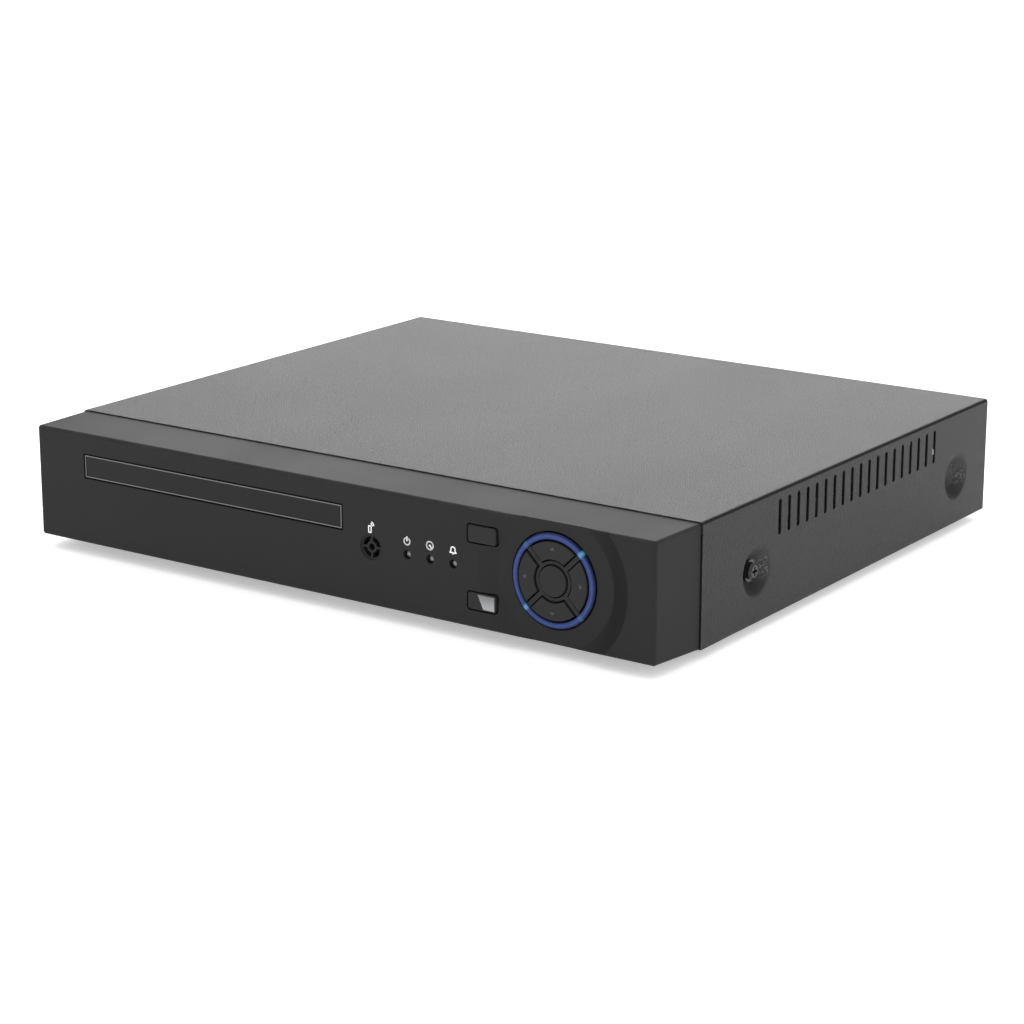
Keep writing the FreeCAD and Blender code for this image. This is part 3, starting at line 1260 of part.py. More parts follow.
# ---------------------------------------------------------------- leads inside the case

sizes(
    ribbon_w=12, ribbon_t=1.0, ribbon_top=25, ribbon_plug_h=4, lead_turn=4, data_r=2.0, wire_r=0.75, wire_pitch=2.0,
    data_plug_y=65, data_plug_w=14, supply_plug_y=84.5, supply_plug_w=22, plug_z=7.5, plug_t=4.6, plug_l=13,
    slope_y=119, slope_l=10, end_plug_l=8.5,
)
PLUG_X = f"({DISK_X1}-disk_plug_d+0.4)"
PLUG_END = f"({PLUG_X}+plug_l)"
HEADER_Z = f"({BOARD_TOP}+header_h/2)"
HEADER_Y = "(board_y+header_in-0.05)"


def swept(points, turn, section):
    """A strip or wire along straight runs with tangent arcs at the corners."""
    corners = [Vector(*[value(part) for part in point]) for point in points]
    radius = value(turn)
    edges, start = [], corners[0]
    for before, corner, after in zip(corners, corners[1:], corners[2:]):
        back, on = (before - corner).normalize(), (after - corner).normalize()
        half = back.getAngle(on) / 2
        reach = radius / math.tan(half)
        first, last = corner + back * reach, corner + on * reach
        centre = corner + (back + on).normalize() * (radius / math.sin(half))
        middle = centre + (corner - centre).normalize() * radius
        edges += [Part.LineSegment(start, first).toShape(), Part.Arc(first, middle, last).toShape()]
        start = last
    edges.append(Part.LineSegment(start, corners[-1]).toShape())
    return Part.Wire(edges).makePipeShell([section(corners[0], corners[1] - corners[0])], True, False)


def round_section(radius):
    """A circle across a run's start."""
    def draw(at, way):
        return Part.Wire(Part.Circle(at, way, value(radius)).toShape())
    return draw


def ribbon_section(at, way):
    """The ribbon's width lies along X, and its thickness across the run."""
    side = Vector(value("ribbon_w") / 2, 0, 0)
    up = way.cross(side).normalize() * (value("ribbon_t") / 2)
    corners = [at + side + up, at - side + up, at - side - up, at + side - up]
    return Part.makePolygon(corners + corners[:1])


def block(x, y, z):
    """A plain box shape between pairs of expressions."""
    low = Vector(value(x[0]), value(y[0]), value(z[0]))
    return Part.makeBox(value(x[1]) - low.x, value(y[1]) - low.y, value(z[1]) - low.z, low)


def lead(name, *shapes):
    """A node whose shape is drawn with Part's own functions, from the sheet's sizes."""
    made = doc.addObject("Part::Feature", name)
    made.Shape = shapes[0] if len(shapes) == 1 else Part.makeCompound(shapes)
    node(name, made)


def disk_plug(y, width):
    """A plug on the disk's connector: it goes round the tongue inside."""
    depth = (f"{DISK_X1}-disk_plug_d-1", f"{DISK_X1}-0.3")
    tongue = block(depth, about(y, "disk_plug_w"), ("plug_z-0.7", "plug_z+0.8"))
    return block((PLUG_X, PLUG_END), about(y, width), about("plug_z", "plug_t")).cut(tongue)


def header_plug(x, width):
    """A plug on one of the board's front-facing headers."""
    return block(about(x, width), (f"{HEADER_Y}-end_plug_l", HEADER_Y), about(HEADER_Z, "header_h-1.6"))


def disk_lead_route(y, column):
    """From the disk's end across, back along a column, and up the slope to the board's headers."""
    return [
        (PLUG_END, y, "plug_z"), (column, y, "plug_z"), (column, "slope_y", "plug_z"),
        (column, "slope_y+slope_l", HEADER_Z), (column, f"{HEADER_Y}-end_plug_l", HEADER_Z),
    ]


def leads():
    back = "(front_board_y+front_board_t+plug_d+0.05)"
    landing = f"({BOARD_TOP}+header_h+0.05)"
    strip = swept(
        [
            ("ribbon_gap_x", f"{back}+ribbon_plug_h", "ribbon_z"), ("ribbon_gap_x", "slope_y", "ribbon_z"),
            ("ribbon_gap_x", "slope_y+slope_l", "ribbon_top"), ("ribbon_gap_x", "ribbon_end_y", "ribbon_top"),
            ("ribbon_gap_x", "ribbon_end_y", f"{landing}+ribbon_plug_h"),
        ],
        "lead_turn", ribbon_section,
    )
    lead("ribbon_cable", strip)
    jacket = swept(disk_lead_route("data_plug_y", "data_x"), "2*lead_turn", round_section("data_r"))
    ends = [disk_plug("data_plug_y", "data_plug_w"), header_plug("data_x", "data_w-2")]
    lead("data_lead", jacket.fuse(ends).removeSplitter())
    wires = []
    for number in range(4):
        across = f"({number}-1.5)*wire_pitch"
        route = disk_lead_route(f"supply_plug_y-({across})", f"supply_x+({across})")
        wires.append(swept(route, f"lead_turn+({across})/2", round_section("wire_r")))
    lead("supply_wires", *wires)
    lead(
        "lead_plugs",
        disk_plug("supply_plug_y", "supply_plug_w"),
        header_plug("supply_x", "supply_w-2"),
        block(about("ribbon_gap_x", "plug_w-0.4"), (back, f"{back}+ribbon_plug_h"), about("ribbon_z", "plug_h-0.4")),
        block(about("ribbon_gap_x", "plug_w-0.4"), about("ribbon_end_y", "plug_h-0.4"),
              (landing, f"{landing}+ribbon_plug_h")),
    )


# ---------------------------------------------------------------- build, check and write

def build():
    bottom_chassis()
    top_cover()
    front_bezel()
    rubber_feet()
    screws()
    name_plate()
    light_ring()
    key_spider()
    keys()
    front_board()
    indicators()
    main_board()
    heat_sink()
    headers()
    bnc_jacks()
    rca_jacks()
    vga_port()
    hdmi_port()
    usb_ports()
    lan_jack()
    power_jack()
    hard_disk()
    leads()
    doc.recompute()


def check():
    """Stops if any object failed, or any sub-part isn't made of valid solids."""
    for thing in doc.Objects:
        if "Invalid" in thing.State or "Error" in thing.State:
            raise RuntimeError(f"{thing.Name} ({thing.Label}) didn't build: {thing.State}")
    for thing in nodes:
        shape = thing.Shape
        if shape.isNull() or not shape.isValid() or not shape.Solids:
            raise RuntimeError(f"{thing.Label} isn't a valid solid")


def write():
    os.makedirs("parts", exist_ok=True)
    for thing in nodes:
        thing.Shape.exportStep(os.path.join("parts", thing.Label + ".step"))


build()
check()
write()
print(len(nodes), "sub-parts written")
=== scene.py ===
import math

import bmesh
import bpy
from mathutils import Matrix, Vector


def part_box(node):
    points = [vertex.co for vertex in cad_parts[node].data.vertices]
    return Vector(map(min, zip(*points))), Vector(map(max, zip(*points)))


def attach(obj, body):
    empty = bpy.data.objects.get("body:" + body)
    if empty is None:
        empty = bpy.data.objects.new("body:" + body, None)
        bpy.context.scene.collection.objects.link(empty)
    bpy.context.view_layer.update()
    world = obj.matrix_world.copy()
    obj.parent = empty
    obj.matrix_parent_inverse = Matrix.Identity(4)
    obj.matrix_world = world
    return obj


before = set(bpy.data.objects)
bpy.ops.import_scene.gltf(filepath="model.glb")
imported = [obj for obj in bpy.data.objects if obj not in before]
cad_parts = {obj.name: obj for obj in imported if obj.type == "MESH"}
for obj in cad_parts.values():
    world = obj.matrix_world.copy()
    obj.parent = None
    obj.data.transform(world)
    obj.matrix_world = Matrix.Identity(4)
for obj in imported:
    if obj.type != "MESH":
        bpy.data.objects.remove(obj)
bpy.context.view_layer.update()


# ---------------------------------------------------------------------------------------------------------
# The camera: it looks down on the right-hand front corner from about a metre away, through a long lens, and
# colours are shown without a film curve.

looks_down, turned = 15.711, 34.914
camera = bpy.data.objects.new("camera", bpy.data.cameras.new("camera"))
camera.location = (0.54073, -0.78494, 0.27374)
camera.rotation_euler = (math.radians(90 - looks_down), 0, math.radians(turned))
camera.data.lens = 97.25
camera.data.clip_end = 50
bpy.context.scene.collection.objects.link(camera)
bpy.context.scene.camera = camera
bpy.context.scene.view_settings.view_transform = "Standard"


# ---------------------------------------------------------------------------------------------------------
# The table it stands on: a pale board that glows faintly, in a bright white room with a wide lamp overhead,
# a small one on the keypad's side and one behind.

def blank(name):
    """A new material with its Principled shader."""
    made = bpy.data.materials.new(name)
    made.use_nodes = True
    return made, made.node_tree, made.node_tree.nodes["Principled BSDF"]


board_size, board_drop = 12.0, 0.0002
tabletop = bpy.data.meshes.new("tabletop")
tabletop.from_pydata(
    [(x * board_size / 2, y * board_size / 2, -board_drop) for x, y in ((-1, -1), (1, -1), (1, 1), (-1, 1))],
    [], [(0, 1, 2, 3)],
)
tabletop = bpy.data.objects.new("tabletop", tabletop)
bpy.context.scene.collection.objects.link(tabletop)
pale, tree, shader = blank("pale_board")
shader.inputs["Base Color"].default_value = (0.93, 0.93, 0.93, 1)
shader.inputs["Roughness"].default_value = 0.9
shader.inputs["Emission Color"].default_value = (1, 1, 1, 1)
shader.inputs["Emission Strength"].default_value = 0.4
tabletop.data.materials.append(pale)

world = bpy.data.worlds.new("room")
world.use_nodes = True
world.node_tree.nodes["Background"].inputs["Color"].default_value = (1.0, 1.0, 1.0, 1)
world.node_tree.nodes["Background"].inputs["Strength"].default_value = 1.0
bpy.context.scene.world = world


def lamp(name, at, aim, width, power):
    light = bpy.data.lights.new(name, "AREA")
    light.size = width
    light.energy = power
    holder = bpy.data.objects.new(name, light)
    holder.location = at
    holder.rotation_euler = (Vector(aim) - Vector(at)).to_track_quat("-Z", "Y").to_euler()
    bpy.context.scene.collection.objects.link(holder)


lamp("overhead_lamp", at=(-0.2, 0.3, 1.9), aim=(0, 0, 0), width=2.4, power=14)
lamp("side_lamp", at=(1.9, -0.1, 0.9), aim=(0, 0, 0.02), width=1.3, power=1)
lamp("back_lamp", at=(-0.8, 1.3, 0.5), aim=(0, 0, 0.02), width=1.2, power=11)


# ---------------------------------------------------------------------------------------------------------
# The chassis: one sheet of 1 mm steel with the rear panel, front lip and side flanges turned up, standoffs and
# screw pockets pressed in, and vent slots in its base. It's powder coated black, and screwed to the bezel.

def sized(text):
    """Socket names are written as words joined with underscores."""
    return text.replace("_", " ")


def put(tree, kind, settings=None, **inputs):
    """A shader node; each input takes a value or another node's output."""
    made = tree.nodes.new("ShaderNode" + kind)
    for name, value in (settings or {}).items():
        setattr(made, name, value)
    for name, value in inputs.items():
        socket = made.inputs[sized(name)]
        if isinstance(value, bpy.types.NodeSocket):
            tree.links.new(value, socket)
        else:
            socket.default_value = value
    return made


def reckon(tree, operation, *values, clamp=False):
    """A Math node's result."""
    made = tree.nodes.new("ShaderNodeMath")
    made.operation = operation
    made.use_clamp = clamp
    for socket, value in zip(made.inputs, values):
        if isinstance(value, bpy.types.NodeSocket):
            tree.links.new(value, socket)
        else:
            socket.default_value = value
    return made.outputs[0]


def stain(tree, amount, under, over):
    """One colour laid over another by an amount."""
    made = tree.nodes.new("ShaderNodeMix")
    made.data_type = "RGBA"
    for number, value in ((0, amount), (6, under), (7, over)):
        socket = made.inputs[number]
        if isinstance(value, bpy.types.NodeSocket):
            tree.links.new(value, socket)
        else:
            socket.default_value = (*value, 1) if number else value
    return made.outputs[2]


def ramp(tree, value, low, high, start=0.0, end=1.0):
    """A value read from one range into another, clamped."""
    made = put(tree, "MapRange", Value=value)
    for number, limit in ((1, low), (2, high), (3, start), (4, end)):
        made.inputs[number].default_value = limit
    return made.outputs[0]


def place(tree):
    """Metres in the recorder's own frame."""
    return tree.nodes.new("ShaderNodeTexCoord").outputs["Object"]


def socketed(name, takes, gives):
    """An empty shader group with named sockets."""
    made = bpy.data.node_groups.new(name, "ShaderNodeTree")
    for title, kind, value in takes:
        socket = made.interface.new_socket(title, in_out="INPUT", socket_type="NodeSocket" + kind)
        if value is not None:
            socket.default_value = value
    for title, kind in gives:
        made.interface.new_socket(title, in_out="OUTPUT", socket_type="NodeSocket" + kind)
    return made, made.nodes.new("NodeGroupInput").outputs, made.nodes.new("NodeGroupOutput").inputs


def finer(tree, size, times=1.0):
    """A noise's scale, from the size of its spots."""
    return reckon(tree, "DIVIDE", times, size)


def drift(tree, noise, spread):
    """A noise as a change up and down."""
    return reckon(tree, "MULTIPLY", reckon(tree, "SUBTRACT", noise, 0.5), spread)


tone_group, given, wanted = socketed(
    "Tone",
    [("Colour", "Color", (0.5, 0.5, 0.5, 1)), ("Patch Size", "Float", 0.03), ("Patch Spread", "Float", 0.1),
     ("Speck Size", "Float", 0.0008), ("Speck Spread", "Float", 0.1)],
    [("Colour", "Color")],
)
spot = place(tone_group)
patch = put(tone_group, "TexNoise", Vector=spot, Detail=3.0, Scale=finer(tone_group, given["Patch Size"]))
speck = put(tone_group, "TexNoise", Vector=spot, Detail=1.0, Scale=finer(tone_group, given["Speck Size"]))
both = reckon(
    tone_group, "ADD", drift(tone_group, patch.outputs[0], given["Patch Spread"]),
    drift(tone_group, speck.outputs[0], given["Speck Spread"]),
)
scaled = put(tone_group, "VectorMath", {"operation": "SCALE"}, Scale=reckon(tone_group, "ADD", both, 1.0))
tone_group.links.new(given["Colour"], scaled.inputs[0])
tone_group.links.new(scaled.outputs[0], wanted["Colour"])

handling_group, given, wanted = socketed(
    "Handling",
    [("Roughness", "Float", 0.4), ("Spread", "Float", 0.1), ("Smear Size", "Float", 0.02)],
    [("Roughness", "Float")],
)
stretched = put(handling_group, "Mapping", Vector=place(handling_group), Scale=(1.0, 0.6, 1.7))
smear = put(
    handling_group, "TexNoise", Vector=stretched.outputs[0], Detail=4.0,
    Scale=finer(handling_group, given["Smear Size"]),
)
handled = reckon(
    handling_group, "MULTIPLY_ADD", reckon(handling_group, "SUBTRACT", smear.outputs[0], 0.5), given["Spread"],
    given["Roughness"],
)
handling_group.links.new(handled, wanted["Roughness"])

grain_group, given, wanted = socketed(
    "Grain", [("Size", "Float", 0.0008), ("Fine Share", "Float", 0.4)], [("Height", "Float")]
)
spot = place(grain_group)
coarse = put(grain_group, "TexNoise", Vector=spot, Detail=1.5, Scale=finer(grain_group, given["Size"]))
fine = put(grain_group, "TexNoise", Vector=spot, Detail=0.0, Scale=finer(grain_group, given["Size"], 2.7))
coarse_share = reckon(grain_group, "SUBTRACT", 1.0, given["Fine Share"])
height = reckon(
    grain_group, "ADD", reckon(grain_group, "MULTIPLY", coarse.outputs[0], coarse_share),
    reckon(grain_group, "MULTIPLY", fine.outputs[0], given["Fine Share"]),
)
grain_group.links.new(height, wanted["Height"])

rub_group, given, wanted = socketed(
    "Rubbed edges",
    [("Middle", "Vector", (0, 0, 0)), ("Half Size", "Vector", (0.1, 0.1, 0.1)), ("Width", "Float", 0.0008),
     ("Amount", "Float", 0.5)],
    [("Mask", "Float")],
)
away = put(rub_group, "VectorMath", {"operation": "SUBTRACT"})
rub_group.links.new(place(rub_group), away.inputs[0])
rub_group.links.new(given["Middle"], away.inputs[1])
spread = put(rub_group, "VectorMath", {"operation": "ABSOLUTE"})
rub_group.links.new(away.outputs[0], spread.inputs[0])
short = put(rub_group, "VectorMath", {"operation": "SUBTRACT"})
rub_group.links.new(given["Half Size"], short.inputs[0])
rub_group.links.new(spread.outputs[0], short.inputs[1])
sides = put(rub_group, "SeparateXYZ", Vector=short.outputs[0])
near = [
    reckon(rub_group, "SUBTRACT", 1.0, reckon(rub_group, "DIVIDE", side, given["Width"]), clamp=True)
    for side in sides.outputs
]
corners = [reckon(rub_group, "MULTIPLY", near[a], near[b]) for a, b in ((0, 1), (1, 2), (0, 2))]
corner = reckon(rub_group, "MAXIMUM", reckon(rub_group, "MAXIMUM", corners[0], corners[1]), corners[2])
knocks = put(rub_group, "TexNoise", Vector=place(rub_group), Scale=160.0, Detail=5.0, Roughness=0.65)
broken = ramp(rub_group, knocks.outputs[0], low=0.42, high=0.66)
rub_group.links.new(
    reckon(rub_group, "MULTIPLY", reckon(rub_group, "MULTIPLY", corner, broken), given["Amount"], clamp=True),
    wanted["Mask"],
)


def grouped(tree, group, **inputs):
    """A placed group, its sockets given by name."""
    made = tree.nodes.new("ShaderNodeGroup")
    made.node_tree = group
    for name, value in inputs.items():
        socket = made.inputs[sized(name)]
        if isinstance(value, bpy.types.NodeSocket):
            tree.links.new(value, socket)
        else:
            socket.default_value = value
    return made


def toned(tree, colour, patches, specks):
    """A colour with drifting patches and small specks, each given as its size and spread."""
    return grouped(
        tree, tone_group, Colour=(*colour, 1), Patch_Size=patches[0], Patch_Spread=patches[1],
        Speck_Size=specks[0], Speck_Spread=specks[1],
    ).outputs[0]


def surface(tree, shader, tone, rough, smears):
    """Joins a colour and a handled roughness to a shader; smears are a size and a spread."""
    wear = grouped(tree, handling_group, Roughness=rough, Spread=smears[1], Smear_Size=smears[0])
    tree.links.new(tone, shader.inputs["Base Color"])
    tree.links.new(wear.outputs[0], shader.inputs["Roughness"])


def emboss(tree, shader, height, dent):
    """Joins a height to a shader's normal."""
    bump = put(tree, "Bump", Height=height, Distance=dent, Strength=1.0)
    tree.links.new(bump.outputs[0], shader.inputs["Normal"])


def finish(name, colour, rough, metal=0.0, patches=(0.03, 0.12), specks=(0.0009, 0.1), smears=(0.02, 0.1),
           grain=(0.0009, 0.4), dent=0.00002, rubbed=None, shine=0.5):
    """A finish with drifting tone, specks, smears and grain. Shine is the strength of its reflections;
    rubbed is the node whose edges are worn, the bare colour there, how much of it and how wide."""
    made, tree, shader = blank(name)
    tone = toned(tree, colour, patches, specks)
    if rubbed:
        of, bare, amount, width = rubbed
        low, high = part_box(of)
        mask = grouped(
            tree, rub_group, Middle=(low + high) / 2, Half_Size=(high - low) / 2, Width=width, Amount=amount
        ).outputs[0]
        tone = stain(tree, mask, tone, bare)
    surface(tree, shader, tone, rough, smears)
    shader.inputs["Metallic"].default_value = metal
    shader.inputs["Specular IOR Level"].default_value = shine
    emboss(tree, shader, grouped(tree, grain_group, Size=grain[0], Fine_Share=grain[1]).outputs[0], dent)
    return made


def dress(material, *names):
    """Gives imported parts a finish."""
    for name in names:
        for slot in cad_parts[name].material_slots:
            slot.material = material


coat_black = (0.020, 0.020, 0.0203)
chassis_coat = finish(
    "chassis_powder_coat", coat_black, 0.5, patches=(0.05, 0.14), specks=(0.0009, 0.5), grain=(0.0011, 0.45),
    dent=0.00012, rubbed=("bottom_chassis", (0.20, 0.20, 0.20), 0.7, 0.0012), shine=0.25,
)
dress(chassis_coat, "bottom_chassis")


# ---------------------------------------------------------------------------------------------------------
# The cover: 0.8 mm steel folded over the top and both sides, with nineteen slots and two pressed dishes in
# each side. Its powder coat is rough like orange peel, with a thin dark line along the bends. Painted shade
# makes its inner faces dark, painted shade darkens the dishes towards the bottom, and painted glints lie in
# them.

cover_coat = finish(
    "cover_powder_coat", coat_black, 0.47, patches=(0.06, 0.10), specks=(0.0006, 1.1), grain=(0.0006, 0.5),
    dent=0.0005, smears=(0.05, 0.06), rubbed=("top_cover", (0.16, 0.16, 0.16), 0.3, 0.0009), shine=0.25,
)


def reopen(material):
    """A finish's tree, its shader and the colour already joined to it."""
    tree = material.node_tree
    shader = tree.nodes["Principled BSDF"]
    return tree, shader, shader.inputs["Base Color"].links[0].from_socket


def overlap(tree, *masks):
    """Where every one of these masks is."""
    shared = masks[0]
    for mask in masks[1:]:
        shared = reckon(tree, "MULTIPLY", shared, mask)
    return shared


# Each pair is where a shade begins and where it's full, in metres in from the outer face or from a middle.
line_across, line_down = (0.0009, 0.0005), (0.0011, 0.0008)
behind_skin, below_bend = (0.0001, 0.0003), (0.0035, 0.0040)
front_dish_y, dish_pitch, dish_height = -0.05875, 0.1405, 0.0202
around_dish, dish_bowl = (0.0110, 0.0112), (0.0092, 0.0078)
glint_rear, glint_low, glint_high = (-0.0005, 0.0030), (-0.0045, -0.0010), (0.0050, 0.0010)
glint_scale, glint_edge, glint_most = 1500.0, (0.50, 0.68), 0.7
bowl_tilt, bowl_light, dark_rough = 0.5, (-0.0065, 0.0025), 0.9
bend_black, bowl_shade_black = (0.004, 0.004, 0.004), (0.002, 0.002, 0.002)
bowl_lit_grey, glint_grey = (0.030, 0.030, 0.030), (0.16, 0.16, 0.16)

tree, shader, coated = reopen(cover_coat)
worn = shader.inputs["Roughness"].links[0].from_socket
parts = put(tree, "SeparateXYZ", Vector=place(tree)).outputs
across = reckon(tree, "ABSOLUTE", parts[0])
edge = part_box("top_cover")[1]
bend = overlap(
    tree, ramp(tree, across, *(edge.x - inward for inward in line_across)),
    ramp(tree, parts[2], *(edge.z - inward for inward in line_down)),
)
rear_half = reckon(tree, "GREATER_THAN", parts[1], front_dish_y + dish_pitch / 2)
dish_y = reckon(tree, "SUBTRACT", parts[1], reckon(tree, "MULTIPLY_ADD", rear_half, dish_pitch, front_dish_y))
dish_z = reckon(tree, "SUBTRACT", parts[2], dish_height)
dish_r = put(
    tree, "VectorMath", {"operation": "LENGTH"}, Vector=put(tree, "CombineXYZ", X=dish_y, Y=dish_z).outputs[0]
).outputs["Value"]
sunk = ramp(tree, across, *(edge.x - inward for inward in behind_skin))
# Painted shade: the cover's inner faces, outside the dishes and below the bends, are coloured near black and
# made rough.
painted_inner_shade = overlap(
    tree, sunk, ramp(tree, dish_r, *around_dish),
    ramp(tree, parts[2], *(edge.z - inward for inward in below_bend)),
)
dark = reckon(tree, "MAXIMUM", bend, painted_inner_shade)
in_bowl = overlap(tree, sunk, ramp(tree, dish_r, *dish_bowl))
# Painted shade in each dish: near black towards the bottom and front, grey towards the top and rear.
lit = ramp(tree, reckon(tree, "MULTIPLY_ADD", dish_y, bowl_tilt, dish_z), *bowl_light)
painted_bowl_shade = stain(tree, lit, bowl_shade_black, bowl_lit_grey)
# Painted glints: small grey specks in the rear middle of each dish stand in for highlights on the coat.
painted_glints = put(tree, "TexNoise", Vector=place(tree), Scale=glint_scale, Detail=1.0)
painted_glints = reckon(
    tree, "MULTIPLY", ramp(tree, painted_glints.outputs[0], *glint_edge),
    overlap(tree, ramp(tree, dish_y, *glint_rear), ramp(tree, dish_z, *glint_low)),
)
painted_glints = overlap(tree, painted_glints, ramp(tree, dish_z, *glint_high, start=0.0, end=glint_most))
coated = stain(tree, in_bowl, coated, stain(tree, painted_glints, painted_bowl_shade, glint_grey))
tree.links.new(stain(tree, dark, coated, bend_black), shader.inputs["Base Color"])
dull = reckon(tree, "MAXIMUM", worn, reckon(tree, "MULTIPLY", dark, dark_rough))
tree.links.new(dull, shader.inputs["Roughness"])
dress(cover_coat, "top_cover")


# ---------------------------------------------------------------------------------------------------------
# The bezel: moulded black plastic with a fine spark-eroded texture, screwed to the chassis lip from inside.
# Painted shade darkens the right-hand slope round the keypad and the gap round the name plate. White signs
# are printed over the remote's window and over the three lights.

bezel_plastic = finish(
    "bezel_plastic", (0.018, 0.018, 0.0185), 0.56, patches=(0.04, 0.2), specks=(0.0005, 0.25),
    grain=(0.0004, 0.5), dent=0.00002, smears=(0.03, 0.10),
    rubbed=("front_bezel", (0.05, 0.05, 0.05), 0.5, 0.0012), shine=0.12,
)


def from_middle(tree, middle):
    """The way from a middle to each point."""
    offset = put(tree, "VectorMath", {"operation": "SUBTRACT"})
    tree.links.new(place(tree), offset.inputs[0])
    offset.inputs[1].default_value = middle
    return offset.outputs[0]


pad = (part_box("key_ok")[0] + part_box("key_ok")[1]) / 2


def round_keypad(tree):
    """The parts of the way from the keypad's middle, and the distance from its axis."""
    parts = put(tree, "SeparateXYZ", Vector=from_middle(tree, pad)).outputs
    flat = put(tree, "CombineXYZ", X=parts[0], Z=parts[2]).outputs[0]
    return parts, put(tree, "VectorMath", {"operation": "LENGTH"}, Vector=flat).outputs["Value"]


slope_begins, slope_ends, slope_right = (0.0212, 0.0222), (0.0278, 0.0270), (0.006, 0.022)
face_skin, recess_gap = (0.0018, 0.0014), (0.0008, 0.0005)
slope_shade_black, recess_shade_black = (0.006, 0.006, 0.0065), (0.001, 0.001, 0.001)

tree, shader, moulded = reopen(bezel_plastic)
parts, reach = round_keypad(tree)
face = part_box("front_bezel")[0].y - pad.y
# Painted shade: the front face is darkened on the right-hand side of the slope round the keypad.
painted_slope_shade = overlap(
    tree, ramp(tree, reach, *slope_begins), ramp(tree, reach, *slope_ends), ramp(tree, parts[0], *slope_right),
    ramp(tree, parts[1], *(face + depth for depth in face_skin)),
)
low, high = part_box("label_frame")
half = (high - low) / 2
aside = put(tree, "VectorMath", {"operation": "ABSOLUTE"}, Vector=from_middle(tree, (low + high) / 2))
aside = put(tree, "SeparateXYZ", Vector=aside.outputs[0]).outputs
# Painted shade: a near-black band on the front face in the gap round the name plate's frame.
painted_recess_shade = overlap(
    tree, ramp(tree, aside[0], *(half.x + outward for outward in recess_gap)),
    ramp(tree, aside[2], *(half.z + outward for outward in recess_gap)),
)
moulded = stain(tree, painted_slope_shade, moulded, slope_shade_black)
tree.links.new(stain(tree, painted_recess_shade, moulded, recess_shade_black), shader.inputs["Base Color"])
dress(bezel_plastic, "front_bezel")

MM = 0.001
layer_step = 0.002


def stroke(points, width):
    """Outlines of a drawn line: a quad for each run, and a small octagon at each joint."""
    shapes = []
    for (x0, z0), (x1, z1) in zip(points, points[1:]):
        length = math.hypot(x1 - x0, z1 - z0)
        nx, nz = -(z1 - z0) / length * width / 2, (x1 - x0) / length * width / 2
        shapes.append([(x0 - nx, z0 - nz), (x1 - nx, z1 - nz), (x1 + nx, z1 + nz), (x0 + nx, z0 + nz)])
    for x, z in points:
        shapes.append(disc(x, z, width / 2, 8))
    return shapes


def disc(x, z, radius, sides=32):
    """Points round a circle."""
    return [
        (x + radius * math.cos(a), z + radius * math.sin(a))
        for a in (2 * math.pi * n / sides for n in range(sides))
    ]


def arc(x, z, radius, start, end, steps=14):
    """Points along part of a circle, in degrees."""
    turns = [math.radians(start + (end - start) * n / steps) for n in range(steps + 1)]
    return [(x + radius * math.cos(a), z + radius * math.sin(a)) for a in turns]


def plates(name, shapes, at, along=(1, 0, 0), up=(0, 0, 1), thick=0.04, body="case", material=None):
    """Thin flat shapes, drawn in millimetres round a place, standing off along the outward side."""
    along, up = Vector(along), Vector(up)
    out = along.cross(up)
    mesh = bmesh.new()
    for number, shape in enumerate(shapes):
        rise = (thick + layer_step * (number % 5)) * MM
        base = [mesh.verts.new(Vector(at) + along * x * MM + up * z * MM) for x, z in shape]
        top = [mesh.verts.new(v.co + out * rise) for v in base]
        mesh.faces.new(top)
        mesh.faces.new(base[::-1])
        for a in range(len(base)):
            b = (a + 1) % len(base)
            mesh.faces.new((base[a], base[b], top[b], top[a]))
    bmesh.ops.recalc_face_normals(mesh, faces=mesh.faces)
    return made_piece(name, mesh, body, material)


def made_piece(name, mesh, body, material):
    """Turns a bmesh into a piece that rides on a body."""
    data = bpy.data.meshes.new(name)
    mesh.to_mesh(data)
    mesh.free()
    piece = bpy.data.objects.new(name, data)
    bpy.context.scene.collection.objects.link(piece)
    data.materials.append(material)
    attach(piece, body)
    return piece


white_ink = finish(
    "white_ink", (0.82, 0.83, 0.84), 0.5, patches=(0.004, 0.15), specks=(0.0003, 0.25), grain=(0.0003, 0.3),
    dent=0.000005,
)
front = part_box("front_bezel")[0].y
lights = [tuple(v / MM for v in corner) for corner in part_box("led_domes")]
dome_r = 2.2
light_pitch = (lights[1][0] - lights[0][0] - 2 * dome_r) / 2
light_x = [lights[0][0] + dome_r + n * light_pitch for n in range(3)]
window_low, window_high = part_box("ir_window")
window_x = (window_low.x + window_high.x) / 2 / MM
window_z = (window_low.z + window_high.z) / 2 / MM
light_z = (lights[0][2] + lights[1][2]) / 2
line = 0.42
over_window, over_lights = window_z + 6.1, light_z + 4.5

